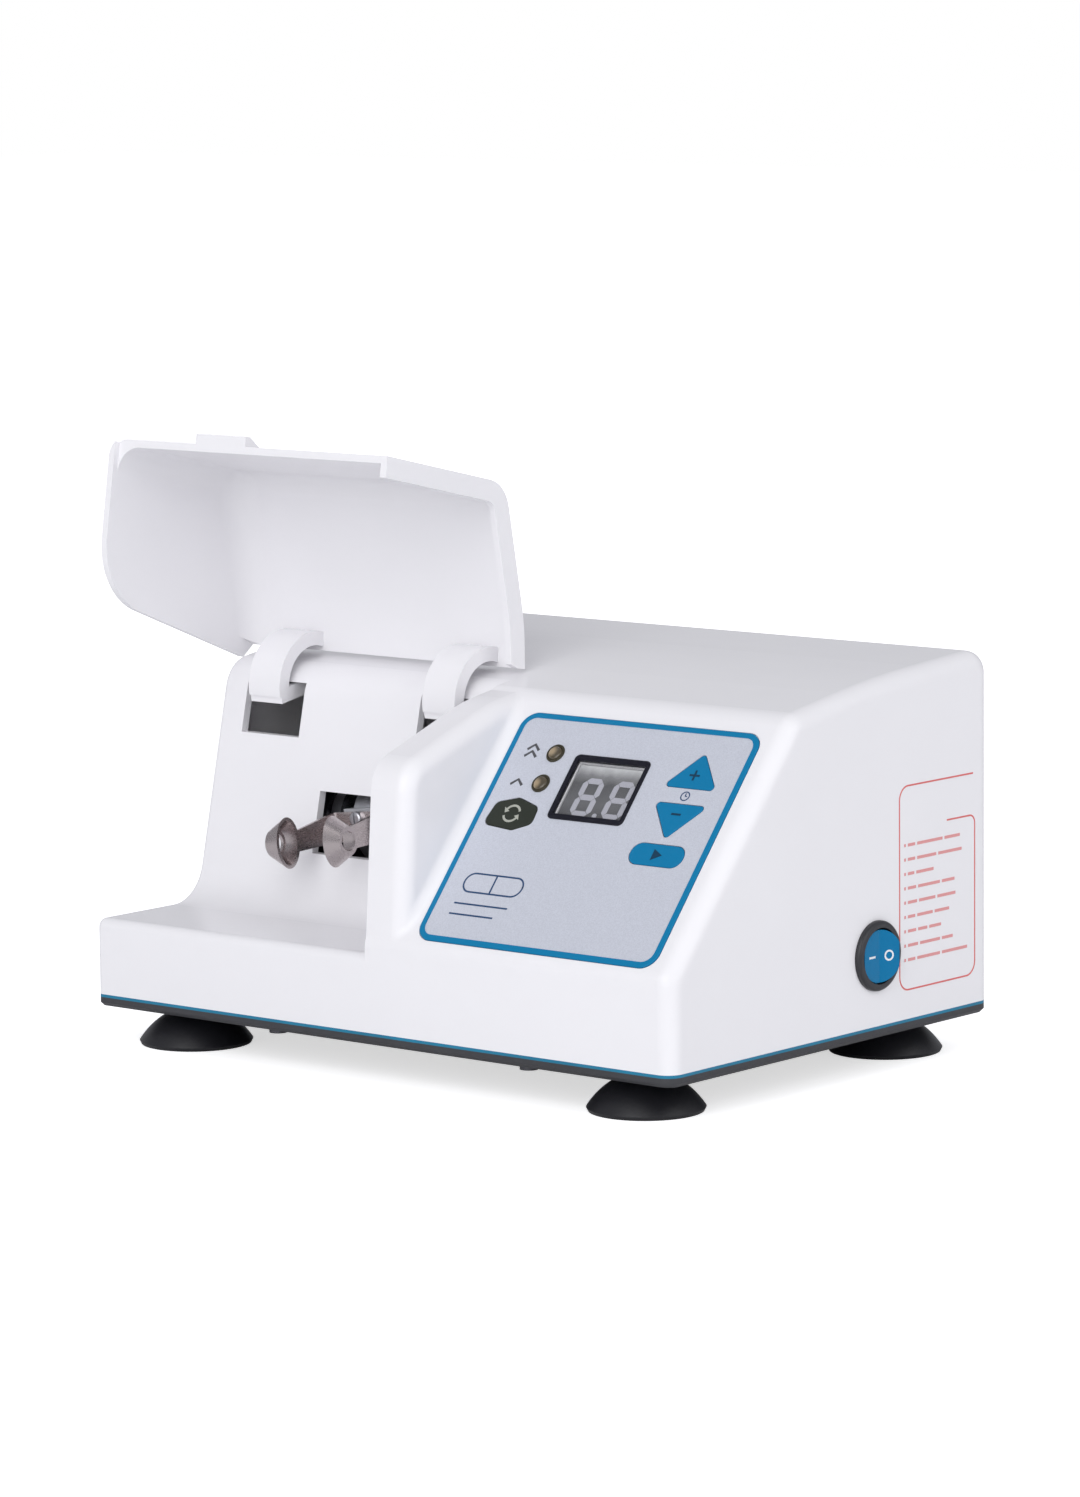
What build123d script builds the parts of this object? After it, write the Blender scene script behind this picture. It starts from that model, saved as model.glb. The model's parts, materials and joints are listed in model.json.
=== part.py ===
from build123d import *
import os
from math import atan2, cos, radians, sin, sqrt, tan

os.makedirs("parts", exist_ok=True)

# A bench mixer for dental capsules. Millimetres and degrees throughout.
# Places inside the machine are measured from the front left corner of the
# housing's lower edge: x to the right, y to the back and z up.

# ---------------------------------------------------------------- housing sizes
housing_width = 245.0
housing_depth = 169.5
wall = 3.0
bay_width = 119.5              # open mixing bay, at the left
bay_floor_height = 25.6
bay_floor_depth = 48.2         # lip to the foot of the leaning wall
bay_wall_lean = 12.7           # from upright
bay_corner_radius = 15.0       # hollow corner between floor and wall
bay_brow_radius = 12.0         # rounding from the wall into the roof
lip_radius = 3.0
slope_angle = 49.3             # of the control face, from level
slope_foot_height = 30.3
slope_foot_radius = 6.5
crease_height = 105.2          # where the control face meets the roof
crease_radius = 10.0
crown_setback = 47.5758        # middle of the roof's gentle crown, behind the crease
crown_rise = 7.6               # and above it
back_rise = 3.9                # the back's edge above the crown
crown_radius = 450.0
back_edge_radius = 7.5
side_edge_radius = 5.5
left_edge_radius = 2.0
cheek_width = 15.5             # raised rib between bay and control face
cheek_foot_depth = 0.4
cheek_brow_place = (4.7, -18.7)    # back from the front, and up from the crease
cheek_ridge_place = (-14.4242, -2.9)    # back and up from the crease
cheek_back_place = (5.5758, 0.2)
cheek_root_height = 60.0       # buried in the tower
cheek_brow_radius = 12.0
cheek_ridge_radius = 80.0
cove_radius = 3.6              # foot of the cheek on the control face

# ------------------------------------------------------------- base tray, seal, feet
seal_thickness = 1.0
seal_width = 2.4
tray_thickness = 3.0
tray_rim_height = 6.0
tray_rim_thickness = 2.0
tray_chamfer = 1.2
fit_gap = 0.3                  # between parts that slip together
foot_height = 12.5
foot_rim_radius = 19.0
foot_neck_radius = 8.5
foot_hollow_depth = 4.0
foot_side_inset = 26.0         # foot centre from the housing's left and right
foot_front_inset = 20.0
foot_back_inset = 23.5
foot_screw_radius = 2.0
foot_screw_head_radius = 4.0
foot_screw_head_height = 2.4
housing_boss_radius = 4.5
housing_boss_height = 18.0
housing_boss_inset = (75.0, 63.0)   # from the left and the right side
housing_screw_radius = 1.5
housing_screw_head_radius = 3.0
housing_screw_length = 14.0

# ------------------------------------------------------------------------- lid
lid_wall = 2.5
lid_cheek_gap = 1.6
lid_overhang = 2.8             # the lid's left side hangs outside the housing
lid_floor_gap = 1.0
lid_back_gap = 1.2
lid_skirt_back = 4.8           # how far the left side reaches behind the leaning wall's face
lid_skirt_drop = 2.2           # and below the front's foot
lid_skirt_radius = 24.0
lid_inner_radius = 9.0         # soft corner inside, along the left side
lid_corner_radius = 16.0
lid_edge_radius = 6.0
lid_rim_width = 2.5
lid_rim_depth = 4.5
lid_back_depth = 65.0          # rear edge of the roof panel
lid_opening = 98.7             # swing from shut to fully open
hinge_setback = 11.3           # hinge behind the roof panel's rear edge
hinge_drop = 6.4               # and below the cheek's back end
tab_start = 34.0
tab_width = 22.0
tab_reach = 2.8
tab_height = 2.0
arm_width = 14.0
arm_centres = (24.0, 101.5)
arm_inner_radius = 13.0
arm_outer_radius = 17.8
arm_start_angle = 168.0        # where the arm leaves the lid's roof, lid shut
arm_web_angle = 288.5          # where it turns in to the pin, lid shut
arm_boss_radius = 4.3
slot_width = 26.0
slot_below_hinge = 16.4
slot_height = 18.0
pin_radius = 2.5
running_gap = 0.05             # radial, shaft in bore
bracket_gap = 0.5
ear_thickness = 2.0
ear_radius = 4.6
bracket_reach = 22.0
bracket_plate = 2.5
magnet_radius = 2.0
magnet_thickness = 1.5
reed_size = (3.0, 14.0, 3.0)

# --------------------------------------------------------------- control panel
# Places and sizes written as shares are parts of the panel's width and height.
panel_cheek_gap = 4.0
panel_side_gap = 8.5           # to the housing's right side
panel_foot = 2.8               # up the slope from its foot
panel_head_gap = 7.7952         # short of the crease
panel_corner_radius = 6.0
panel_recess = 0.8
panel_thickness = 1.0
border_width = 2.0
border_thickness = 1.2
display_share = (0.4523, 0.6995)
display_size_share = (0.318, 0.281)
display_rim = (1.7, 2.1)
display_lap = 0.6              # bezel over the opening behind it
display_corner_radius = 2.0
display_bezel_thickness = 1.6
pane_thickness = 0.9
lamp_shares = ((0.2041, 0.8333), (0.2041, 0.7007))
lamp_ring_radius = 3.4
lamp_lens_radius = 2.6
lamp_ring_height = 0.5
lamp_lens_crown = 1.1
key_column_share = 0.8051
key_width_share = 0.2174
key_height_share = 0.1497
up_key_share = 0.746           # its foot
down_key_share = 0.678         # its top
start_key_share = 0.4581       # its middle
start_key_height_share = 0.0907
select_key_share = (0.1477, 0.5624)
select_key_size_share = (0.199, 0.1383)
key_gap = 0.2
key_cap_thickness = 1.2
key_travel = 0.5
key_pocket = 0.8
key_stem_radius = 2.4
board_depth = 12.0             # from the control face to the board
board_thickness = 1.6
board_margin = 4.0             # inside the panel's outline
tact_size = 6.0
tact_height = 3.6
tact_button_radius = 1.7
tact_total_height = 5.0
spacer_radius = 3.0
board_screw_radius = 1.2
board_screw_head_radius = 2.4
board_screw_head_height = 1.6

# --------------------------------------------------------------- rocker switch
switch_depth = 106.3
switch_height = 23.2
switch_bezel_radius = 11.5
switch_bezel_thickness = 2.0
switch_barrel_radius = 10.0
switch_barrel_length = 17.0
switch_well_radius = 9.2
rocker_radius = 8.6            # of the rocker's ends about its pivot
rocker_valley = 2.6            # middle of the V above the pivot
rocker_tilt = 10.0             # each way
rocker_pivot_inset = 1.0       # pivot inside the housing's side
rocker_skirt = 3.4             # depth of the rocker below its pivot
rocker_trunnion_radius = 1.2
terminal_size = (0.8, 4.8, 8.0)

# ------------------------------------------------------------------- back panel
back_row_height = 30.0
back_slots = 11                # cooling slots in the back
back_slots_from_right = 122.5
back_slots_height = 66.0
back_slot_size = (26.0, 2.6)
gland_from_right = 40.0
gland_bore_radius = 3.8
gland_flange_radius = 8.5
gland_flange_thickness = 2.5
gland_nose_radius = 6.0
gland_proud = 13.0
gland_inner_length = 10.0
fuse_from_right = 69.0
fuse_flange_radius = 8.0
fuse_flange_thickness = 2.0
fuse_barrel_radius = 6.2
fuse_barrel_length = 24.0
fuse_cap_radius = 5.0
fuse_cap_proud = 7.0
fuse_bore_radius = 4.6

# ------------------------------------------------------------------ mixing drive
hub_place = (65.2, 76.0, 55.0)  # middle of the rocking hub, on the shaft's axis
wobble_angle = 6.5              # tilt of the journal on the shaft
shaft_radius = 3.0
journal_radius = 6.0
journal_length = 16.0
bearing_width = 6.0
hub_bearing_radius = 12.0
hub_radius = 15.0
hub_width = 10.0
hub_pad_reach = 15.8
hub_pad_size = (14.0, 12.0)
lug_reach = 21.0
lug_size = (4.0, 8.0)
fork_reach = 41.0               # hub to the capsule's axis
fork_drop = 2.3                 # the capsule's axis lies this much below the web's middle
fork_half_gap = 10.3            # hub's mid plane to an arm's inner face
fork_thickness = 1.2
fork_arm_height = 10.0          # at the web
fork_neck_height = 7.0          # at the ear
ear_rim = (5.6, 8.6)            # half depth and half height of the oval ear
ear_apex = (4.4, 4.9)
ear_dish_depth = 5.2
ear_lip = 0.5
ear_hole_radius = 3.3
fork_screw_height = 2.6
fork_screw_radius = 1.25
fork_screw_head_radius = 2.6
fork_screw_head_height = 1.8
fork_screw_depth = 3.0          # into the hub
screw_slot_width = 0.8
shield_width = 1.6              # of each ring left and right of a bearing's shield
shield_depth = 0.5
small_chamfer = 0.8
window_width = 30.8
window_height = 20.6
window_foot_height = 45.4
slot_inset = 19.0               # cooling slots, behind the motor's flange
cooling_slots = 8
cooling_slot_pitch = 7.0
cooling_slot_size = (34.0, 3.0)
stand_places = (38.0, 88.0)     # left faces of the two bearing stands
stand_thickness = 6.0
stand_radius = 14.0
shaft_bearing_radius = 9.5
frame_foot_height = 5.0
frame_plate_thickness = 4.0
frame_front = 60.0
frame_back = 112.0
frame_left = 20.0
frame_right = 144.0
motor_flange_place = 123.5
motor_flange_thickness = 4.0
motor_radius = 23.0
motor_length = 62.0
motor_wall = 2.0
motor_shaft_radius = 2.5
motor_edge_radius = 2.5
motor_screw_radius = 1.2
motor_screw_head_radius = 2.6
motor_screw_head_height = 1.8
motor_shaft_start = 110.0
armature_radius = 16.5
armature_length = 34.0
coupling_radius = 9.0
coupling_length = 20.0
coupling_place = 98.0
weight_radius = 13.0
weight_thickness = 4.0
weight_gap = 12.0               # hub's middle to the near face of each weight
isolator_radius = 6.0
spring_radius = 2.6
spring_wire_radius = 0.45
spring_pitch = 1.8
spring_turns = 8
spring_hook_length = 3.0
post_back = 8.0                 # pillar behind the springs
post_radius = 2.0
pillar_size = (8.0, 3.0)        # across and back
pillar_foot_size = (16.0, 8.0, 2.0)
pillar_head = 3.0               # above the upper spring's hook

# ------------------------------------------------------------------ power supply
power_board_size = (58.0, 46.0, 1.6)
power_board_inset = (9.0, 12.0)      # from the housing's right side and back
power_board_lift = 5.0
transformer_size = (36.0, 30.0, 28.0)
transformer_offset = (24.0, 20.0)   # its centre on the board
capacitor_radius = 6.0
capacitor_height = 18.0
capacitor_inset = (8.0, 10.0)   # from the board's right and back

# ------------------------------------------------------------------ shared places
slope = radians(slope_angle)
lean = tan(radians(bay_wall_lean))
crease_depth = (crease_height - slope_foot_height) / tan(slope)
crown_depth = crease_depth + crown_setback
crown_height = crease_height + crown_rise
housing_height = crown_height + back_rise
panel_height = (crease_height - slope_foot_height) / sin(slope) - panel_foot - panel_head_gap
cheek_foot = (cheek_foot_depth, bay_floor_height)
cheek_brow = (cheek_brow_place[0], crease_height + cheek_brow_place[1])
cheek_ridge = (crease_depth + cheek_ridge_place[0], crease_height + cheek_ridge_place[1])
cheek_back = (crease_depth + cheek_back_place[0], crease_height + cheek_back_place[1])
cheek_root = (cheek_back[0], cheek_root_height)
hinge_depth = lid_back_depth + hinge_setback
hinge_height = cheek_back[1] - hinge_drop
slot_foot_height = hinge_height - slot_below_hinge
gland_centre = (housing_width - gland_from_right, back_row_height)
fuse_centre = (housing_width - fuse_from_right, back_row_height)
housing_boss_x = (housing_boss_inset[0], housing_width - housing_boss_inset[1])
power_board_place = (housing_width - power_board_inset[0] - power_board_size[0],
                     housing_depth - power_board_inset[1] - power_board_size[1])
edge_height = foot_height + tray_thickness + seal_thickness
valley_slope = tan(radians(rocker_tilt))
rocker_tip = (-rocker_valley * valley_slope + sqrt((rocker_valley * valley_slope) ** 2
              + (1 + valley_slope ** 2) * (rocker_radius ** 2 - rocker_valley ** 2))
              ) / (1 + valley_slope ** 2)
rocker_tip_angle = atan2(rocker_valley + rocker_tip * valley_slope, rocker_tip) + radians(rocker_tilt)
rocker_proud = rocker_radius * sin(rocker_tip_angle) - rocker_pivot_inset
left_side = -(housing_width + rocker_proud - lid_overhang) / 2
front_side = -(housing_depth + gland_proud) / 2


def at(x, y, z):
    """A point measured from the front left corner of the housing's lower edge."""
    return Vector(left_side + x, front_side + y, edge_height + z)


def side_plane(x):
    """Upright plane facing right: local x runs back and local y up."""
    return Plane(origin=at(x, 0, 0), x_dir=(0, 1, 0), z_dir=(1, 0, 0))


def front_plane(y):
    """Upright plane facing the front: local x runs right and local y up."""
    return Plane(origin=at(0, y, 0), x_dir=(1, 0, 0), z_dir=(0, -1, 0))


def level_plane(z):
    """Level plane facing up: local x runs right and local y back."""
    return Plane(origin=at(0, 0, z), x_dir=(1, 0, 0), z_dir=(0, 0, 1))


def panel_plane(lift=0.0):
    """Plane of the control face: local x runs right and local y up the slope."""
    face = Plane(origin=at(0, 0, slope_foot_height), x_dir=(1, 0, 0),
                 z_dir=(0, -sin(slope), cos(slope)))
    return face.offset(lift)


out_of_panel = Axis(panel_plane().origin, panel_plane().z_dir)


panel_left = bay_width + cheek_width + panel_cheek_gap
panel_width = housing_width - panel_side_gap - panel_left


def on_panel(share):
    """A place on the control face from its shares of the panel's width and height."""
    return (panel_left + share[0] * panel_width, panel_foot + share[1] * panel_height)


display_centre = on_panel(display_share)
display_size = (display_size_share[0] * panel_width, display_size_share[1] * panel_height)
display_window_size = (display_size[0] - 2 * display_rim[0], display_size[1] - 2 * display_rim[1])
display_opening_size = (display_window_size[0] - 2 * display_lap, display_window_size[1] - 2 * display_lap)
lamp_centres = [on_panel(share) for share in lamp_shares]
key_column, up_key_foot = on_panel((key_column_share, up_key_share))
key_width = key_width_share * panel_width
key_height = key_height_share * panel_height
down_key_top = on_panel((key_column_share, down_key_share))[1]
start_key_centre = on_panel((key_column_share, start_key_share))[1]
start_key_height = start_key_height_share * panel_height
select_key_centre = on_panel(select_key_share)
select_key_size = (select_key_size_share[0] * panel_width, select_key_size_share[1] * panel_height)


def outline(points, radii, inset=0.0):
    """Closed outline with rounded corners, moved inwards by the inset."""
    with BuildLine() as rim:
        FilletPolyline(*points, radius=radii, close=True)
    make_face(rim.edges())
    if inset:
        offset(amount=-inset, kind=Kind.INTERSECTION)


# ------------------------------------------------------------------ housing forms
roof_rise = (crown_height - crease_height) / (crown_depth - crease_depth)
brow_depth = (bay_floor_depth + (crease_height - crease_depth * roof_rise - bay_floor_height) * lean
              ) / (1 - roof_rise * lean)
brow_height = crease_height + (brow_depth - crease_depth) * roof_rise


def roof_points(inset):
    """The roof's back half and the back wall, down to the open lower edge."""
    return [(crown_depth, crown_height), (housing_depth, housing_height), (housing_depth, -2 * inset)]


def low_form(inset):
    """Bay floor, leaning wall and the block behind it, across most of the width."""
    points = [(0, -2 * inset), (0, bay_floor_height), (bay_floor_depth, bay_floor_height),
              (brow_depth, brow_height)] + roof_points(inset)
    radii = [0, lip_radius, bay_corner_radius, bay_brow_radius, crown_radius, back_edge_radius, 0]
    with BuildPart() as form:
        with BuildSketch(side_plane(inset)):
            outline(points, radii, inset)
        extrude(amount=housing_width - inset - 3 * side_edge_radius)
        if left_edge_radius > inset:
            fillet(form.faces().sort_by(Axis.X)[0].edges().sort_by(Axis.Z)[1:], left_edge_radius)
    return form.part


def tower_outline(inset):
    """Side outline of the control tower, moved inwards, in the open sketch."""
    points = [(0, -2 * inset), (0, slope_foot_height), (crease_depth, crease_height)] + roof_points(inset)
    radii = [0, slope_foot_radius, crease_radius, crown_radius, back_edge_radius, 0]
    outline(points, radii, inset)


def tower_form(inset):
    """Control tower at the right, with its sloping face."""
    with BuildPart() as form:
        with BuildSketch(side_plane(bay_width + inset)):
            tower_outline(inset)
        extrude(amount=housing_width - bay_width - 2 * inset)
        fillet(form.faces().sort_by(Axis.X)[-1].edges().sort_by(Axis.Z)[1:], side_edge_radius - inset)
    return form.part


def slope_lift(edge):
    """How far an edge's middle stands proud of the control face."""
    return panel_plane().to_local_coords(edge.center()).Z


def above_slope(edge):
    """Whether an edge's middle stands proud of the control face."""
    return slope_lift(edge) > 0


def cheek_form(inset):
    """Rib beside the bay, whose outline the shut lid continues."""
    with BuildPart() as form:
        with BuildSketch(side_plane(bay_width + inset)):
            outline([cheek_foot, cheek_brow, cheek_ridge, cheek_back, cheek_root],
                    [0, cheek_brow_radius, cheek_ridge_radius, 0, 0], inset)
        extrude(amount=cheek_width - 2 * inset)
        skin = form.faces().sort_by(Axis.X)[-1].edges().filter_by(above_slope)
        fillet(skin, side_edge_radius - inset)
    return form.part


outer_forms = [low_form(0), tower_form(0), cheek_form(0)]
inner_forms = [low_form(wall), tower_form(wall), cheek_form(wall)]

# ------------------------------------------------------------------------ housing
hub_x, hub_y, hub_z = hub_place
panel_centre = (panel_left + panel_width / 2, panel_foot + panel_height / 2)
window_centre = (hub_x, window_foot_height + window_height / 2)
slot_middle = slot_foot_height + slot_height / 2
boss_inset = wall + housing_boss_radius - 0.5
boss_places = [(x, y) for x in housing_boss_x for y in (boss_inset, housing_depth - boss_inset)]
foot_places = [(x, y) for x in (foot_side_inset, housing_width - foot_side_inset)
               for y in (foot_front_inset, housing_depth - foot_back_inset)]
up_key = [(key_column, up_key_foot + key_height), (key_column - key_width / 2, up_key_foot),
          (key_column + key_width / 2, up_key_foot)]
down_key = [(key_column, down_key_top - key_height), (key_column + key_width / 2, down_key_top),
            (key_column - key_width / 2, down_key_top)]
start_key = [(key_column + i * key_width / 2, start_key_centre + j * start_key_height / 2)
             for i, j in ((-1, -1), (1, -1), (1, 1), (-1, 1))]
select_key = [(select_key_centre[0] + i * select_key_size[0] / 2,
               select_key_centre[1] + j * select_key_size[1] / 2)
              for i, j in ((-1, -0.8), (0.3, -1), (1, -0.5), (0.95, 0.55), (0, 1), (-0.85, 0.6))]
# Each key: its corners, their rounding and where its stem stands.
keys = {
    "key_up": (up_key, 1.2, (key_column, up_key_foot + key_height * 0.36)),
    "key_down": (down_key, 1.2, (key_column, down_key_top - key_height * 0.36)),
    "key_start": (start_key, start_key_height * 0.48, (key_column, start_key_centre)),
    "key_select": (select_key, 2.4, select_key_centre),
}


def key_shape(name, grow=0.0):
    """A key's outline on the control face, grown all round."""
    corners, rounding, _ = keys[name]
    outline(corners, [rounding] * len(corners), -grow)


with BuildPart() as housing:
    add(outer_forms)
    cheek_side = at(bay_width + cheek_width, 0, 0).X
    cove = housing.edges().filter_by(GeomType.LINE).filter_by(
        lambda edge: abs(edge.center().X - cheek_side) < 0.01 and abs(slope_lift(edge)) < 0.01)
    fillet(cove.sort_by(SortBy.LENGTH)[-1:], cove_radius)
    add(inner_forms, mode=Mode.SUBTRACT)
    # Bosses for the screws that hold the base.
    with BuildSketch(level_plane(-seal_thickness)):
        with Locations(boss_places):
            Circle(housing_boss_radius)
    extrude(amount=housing_boss_height)
    with BuildSketch(level_plane(-seal_thickness)):
        with Locations(boss_places):
            Circle(housing_screw_radius)
    extrude(amount=housing_screw_length, mode=Mode.SUBTRACT)
    # Window for the fork and slots for the lid's arms, through the leaning wall.
    with BuildSketch(front_plane(bay_floor_depth)):
        with Locations(window_centre):
            Rectangle(window_width, window_height)
    extrude(amount=-(hub_y - hub_radius - bay_floor_depth + wall), mode=Mode.SUBTRACT)
    with BuildSketch(front_plane(bay_floor_depth)):
        with Locations([(x, slot_middle) for x in arm_centres]):
            Rectangle(slot_width, slot_height)
    extrude(amount=-(hinge_depth - arm_boss_radius - bay_floor_depth), mode=Mode.SUBTRACT)
    # Recess for the control panel, with its openings and key pockets.
    with BuildSketch(panel_plane()):
        with Locations(panel_centre):
            RectangleRounded(panel_width + 2 * key_gap, panel_height + 2 * key_gap, panel_corner_radius)
    extrude(amount=-panel_recess, mode=Mode.SUBTRACT)
    with BuildSketch(panel_plane()):
        with Locations(display_centre):
            Rectangle(*display_opening_size)
        with Locations(lamp_centres):
            Circle(lamp_lens_radius + key_gap)
        with Locations([stem for _, _, stem in keys.values()]):
            Circle(key_stem_radius + key_gap)
    extrude(amount=-2 * wall, mode=Mode.SUBTRACT)
    for key_name in keys:
        with BuildSketch(panel_plane(-panel_recess)):
            key_shape(key_name, key_gap)
        extrude(amount=-key_pocket, mode=Mode.SUBTRACT)
    # Switch hole in the right side, cord and fuse holes in the back.
    with BuildSketch(side_plane(housing_width)):
        with Locations((switch_depth, switch_height)):
            Circle(switch_barrel_radius)
    extrude(amount=-2 * wall, mode=Mode.SUBTRACT)
    with BuildSketch(front_plane(housing_depth)):
        with Locations(gland_centre):
            Circle(gland_nose_radius)
        with Locations(fuse_centre):
            Circle(fuse_barrel_radius)
        with Locations((housing_width - back_slots_from_right, back_slots_height)):
            with GridLocations(cooling_slot_pitch, 0, back_slots, 1):
                SlotOverall(*back_slot_size, rotation=90)
    extrude(amount=2 * wall, mode=Mode.SUBTRACT)
housing.part.label = "housing"
export_step(housing.part, "parts/housing.step")

# ------------------------------------------------------------------ seal and base


def footprint(inset):
    """The housing's outline seen from above, moved inwards."""
    corners = [(0, 0), (housing_width, 0), (housing_width, housing_depth), (0, housing_depth)]
    radii = [left_edge_radius, side_edge_radius, side_edge_radius, left_edge_radius]
    outline(corners, radii, inset)


with BuildPart() as base_seal:
    with BuildSketch(level_plane(-seal_thickness)) as seal_ring:
        footprint(0)
        with Locations((housing_width / 2, housing_depth / 2)):
            Rectangle(housing_width - 2 * seal_width, housing_depth - 2 * seal_width, mode=Mode.SUBTRACT)
    extrude(amount=seal_thickness)
base_seal.part.label = "base_seal"
export_step(base_seal.part, "parts/base_seal.step")

with BuildPart() as base_tray:
    with BuildSketch(level_plane(-seal_thickness - tray_thickness)):
        footprint(0)
    extrude(amount=tray_thickness)
    chamfer(base_tray.faces().sort_by(Axis.Z)[0].edges(), tray_chamfer)
    # Rim that locates the housing, cut back round the housing's bosses.
    with BuildSketch(level_plane(-seal_thickness)):
        footprint(wall + fit_gap)
        footprint_rim = wall + fit_gap + tray_rim_thickness
        with Locations((housing_width / 2, housing_depth / 2)):
            Rectangle(housing_width - 2 * footprint_rim, housing_depth - 2 * footprint_rim,
                      mode=Mode.SUBTRACT)
        with Locations(boss_places):
            Circle(housing_boss_radius + fit_gap, mode=Mode.SUBTRACT)
    extrude(amount=tray_rim_height)
    # Screw holes for the feet and the housing.
    with BuildSketch(level_plane(-seal_thickness)):
        with Locations(foot_places):
            Circle(foot_screw_radius)
        with Locations(boss_places):
            Circle(housing_screw_radius)
    extrude(amount=-tray_thickness, mode=Mode.SUBTRACT)
    # Cooling slots under the motor.
    with BuildSketch(level_plane(-seal_thickness)):
        with Locations((motor_flange_place + slot_inset + motor_length / 3, hub_y)):
            with GridLocations(cooling_slot_pitch, 0, cooling_slots, 1):
                SlotOverall(*cooling_slot_size, rotation=90)
    extrude(amount=-tray_thickness, mode=Mode.SUBTRACT)
base_tray.part.label = "base_tray"
export_step(base_tray.part, "parts/base_tray.step")

# ----------------------------------------------------------------------- feet
tray_foot = -seal_thickness - tray_thickness
foot_names = ["foot_front_left", "foot_back_left", "foot_front_right", "foot_back_right"]
for foot_name, (foot_x, foot_y) in zip(foot_names, foot_places):
    foot_side = Plane(origin=at(foot_x, foot_y, tray_foot), x_dir=(1, 0, 0), z_dir=(0, -1, 0))
    with BuildPart() as foot:
        with BuildSketch(foot_side):
            with BuildLine():
                Line((foot_screw_radius, 0), (foot_neck_radius, 0))
                Line((foot_neck_radius, 0), (foot_neck_radius, -2.0))
                Bezier((foot_neck_radius, -2.0), (foot_neck_radius + 3.0, -3.4),
                       (foot_rim_radius - 3.5, -6.0), (foot_rim_radius, -foot_height + 1.2))
                Line((foot_rim_radius, -foot_height + 1.2), (foot_rim_radius - 0.6, -foot_height))
                Line((foot_rim_radius - 0.6, -foot_height), (foot_rim_radius - 3.0, -foot_height))
                ThreePointArc((foot_rim_radius - 3.0, -foot_height),
                              (foot_rim_radius * 0.6, -foot_height + foot_hollow_depth * 0.75),
                              (foot_screw_head_radius + 1.0, -foot_height + foot_hollow_depth))
                Line((foot_screw_head_radius + 1.0, -foot_height + foot_hollow_depth),
                     (foot_screw_radius, -foot_height + foot_hollow_depth))
                Line((foot_screw_radius, -foot_height + foot_hollow_depth), (foot_screw_radius, 0))
            make_face()
        revolve(axis=Axis(at(foot_x, foot_y, 0), (0, 0, 1)))
    foot.part.label = foot_name
    export_step(foot.part, f"parts/{foot_name}.step")

with BuildPart() as foot_screws:
    with BuildSketch(level_plane(tray_foot - foot_height + foot_hollow_depth - foot_screw_head_height)):
        with Locations(foot_places):
            Circle(foot_screw_head_radius)
    extrude(amount=foot_screw_head_height)
    with BuildSketch(level_plane(tray_foot - foot_height + foot_hollow_depth)):
        with Locations(foot_places):
            Circle(foot_screw_radius)
    extrude(amount=foot_height - foot_hollow_depth + tray_thickness)
foot_screws.part.label = "foot_screws"
export_step(foot_screws.part, "parts/foot_screws.step")

with BuildPart() as housing_screws:
    with BuildSketch(level_plane(tray_foot - housing_screw_head_radius * 0.6)):
        with Locations(boss_places):
            Circle(housing_screw_head_radius)
    extrude(amount=housing_screw_head_radius * 0.6)
    with BuildSketch(level_plane(tray_foot)):
        with Locations(boss_places):
            Circle(housing_screw_radius)
    extrude(amount=tray_thickness + housing_screw_length - 2.0)
housing_screws.part.label = "housing_screws"
export_step(housing_screws.part, "parts/housing_screws.step")

# --------------------------------------------------------- lid, drawn shut
hinge_line = Axis(at(0, hinge_depth, hinge_height), (1, 0, 0))
ridge_rise = (cheek_back[1] - cheek_ridge[1]) / (cheek_back[0] - cheek_ridge[0])
front_rise = (cheek_brow[0] - cheek_foot[0]) / (cheek_brow[1] - cheek_foot[1])
lid_foot = bay_floor_height + lid_floor_gap
lid_width = bay_width - lid_cheek_gap + lid_overhang


def front_line(z):
    """Depth of the lid's front at a height."""
    return cheek_foot[0] + (z - cheek_foot[1]) * front_rise


def ridge_line(y):
    """Height of the lid's roof towards its rear edge."""
    return cheek_ridge[1] + (y - cheek_ridge[0]) * ridge_rise


def wall_line(z):
    """Depth of the leaning wall's face at a height."""
    return bay_floor_depth + (z - bay_floor_height) * lean


def lid_hollow(inset, start, width, soft=0.0):
    """Room under the lid's skin, open below and behind, between two sides."""
    low, far = -bay_floor_height, 2 * bay_floor_depth
    with BuildPart() as hollow:
        with BuildSketch(side_plane(start)):
            outline([(front_line(low), low), cheek_brow, cheek_ridge, (far, ridge_line(far)), (far, low)],
                    [0, cheek_brow_radius, cheek_ridge_radius, 0, 0], inset)
        extrude(amount=width)
        if soft:
            skin = hollow.faces().sort_by(Axis.X)[0].edges().filter_by(above_slope)
            fillet(skin, soft)
    return hollow.part


def lid_side(foot, back_gap, corner):
    """Side outline of the lid: its foot's height, its room to the leaning wall and their corner."""
    points = [(front_line(foot), foot), cheek_brow, cheek_ridge, (lid_back_depth, ridge_line(lid_back_depth)),
              (lid_back_depth, ridge_line(lid_back_depth) - 1.5 * lid_wall),
              (wall_line(hinge_height) - back_gap, hinge_height - lid_wall),
              (wall_line(foot) - back_gap, foot)]
    outline(points, [0, cheek_brow_radius, cheek_ridge_radius, 0, 0, 0, corner])


main_hollow = lid_hollow(lid_wall, lid_wall - lid_overhang, lid_width - lid_wall - lid_rim_width,
                         lid_inner_radius)
rim_hollow = lid_hollow(lid_wall + lid_rim_depth, 2 * lid_wall, lid_width)
hinge_point = (hinge_depth, hinge_height)
lid_right = lid_width - lid_overhang
magnet_place = (31.0, 92.0)

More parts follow.
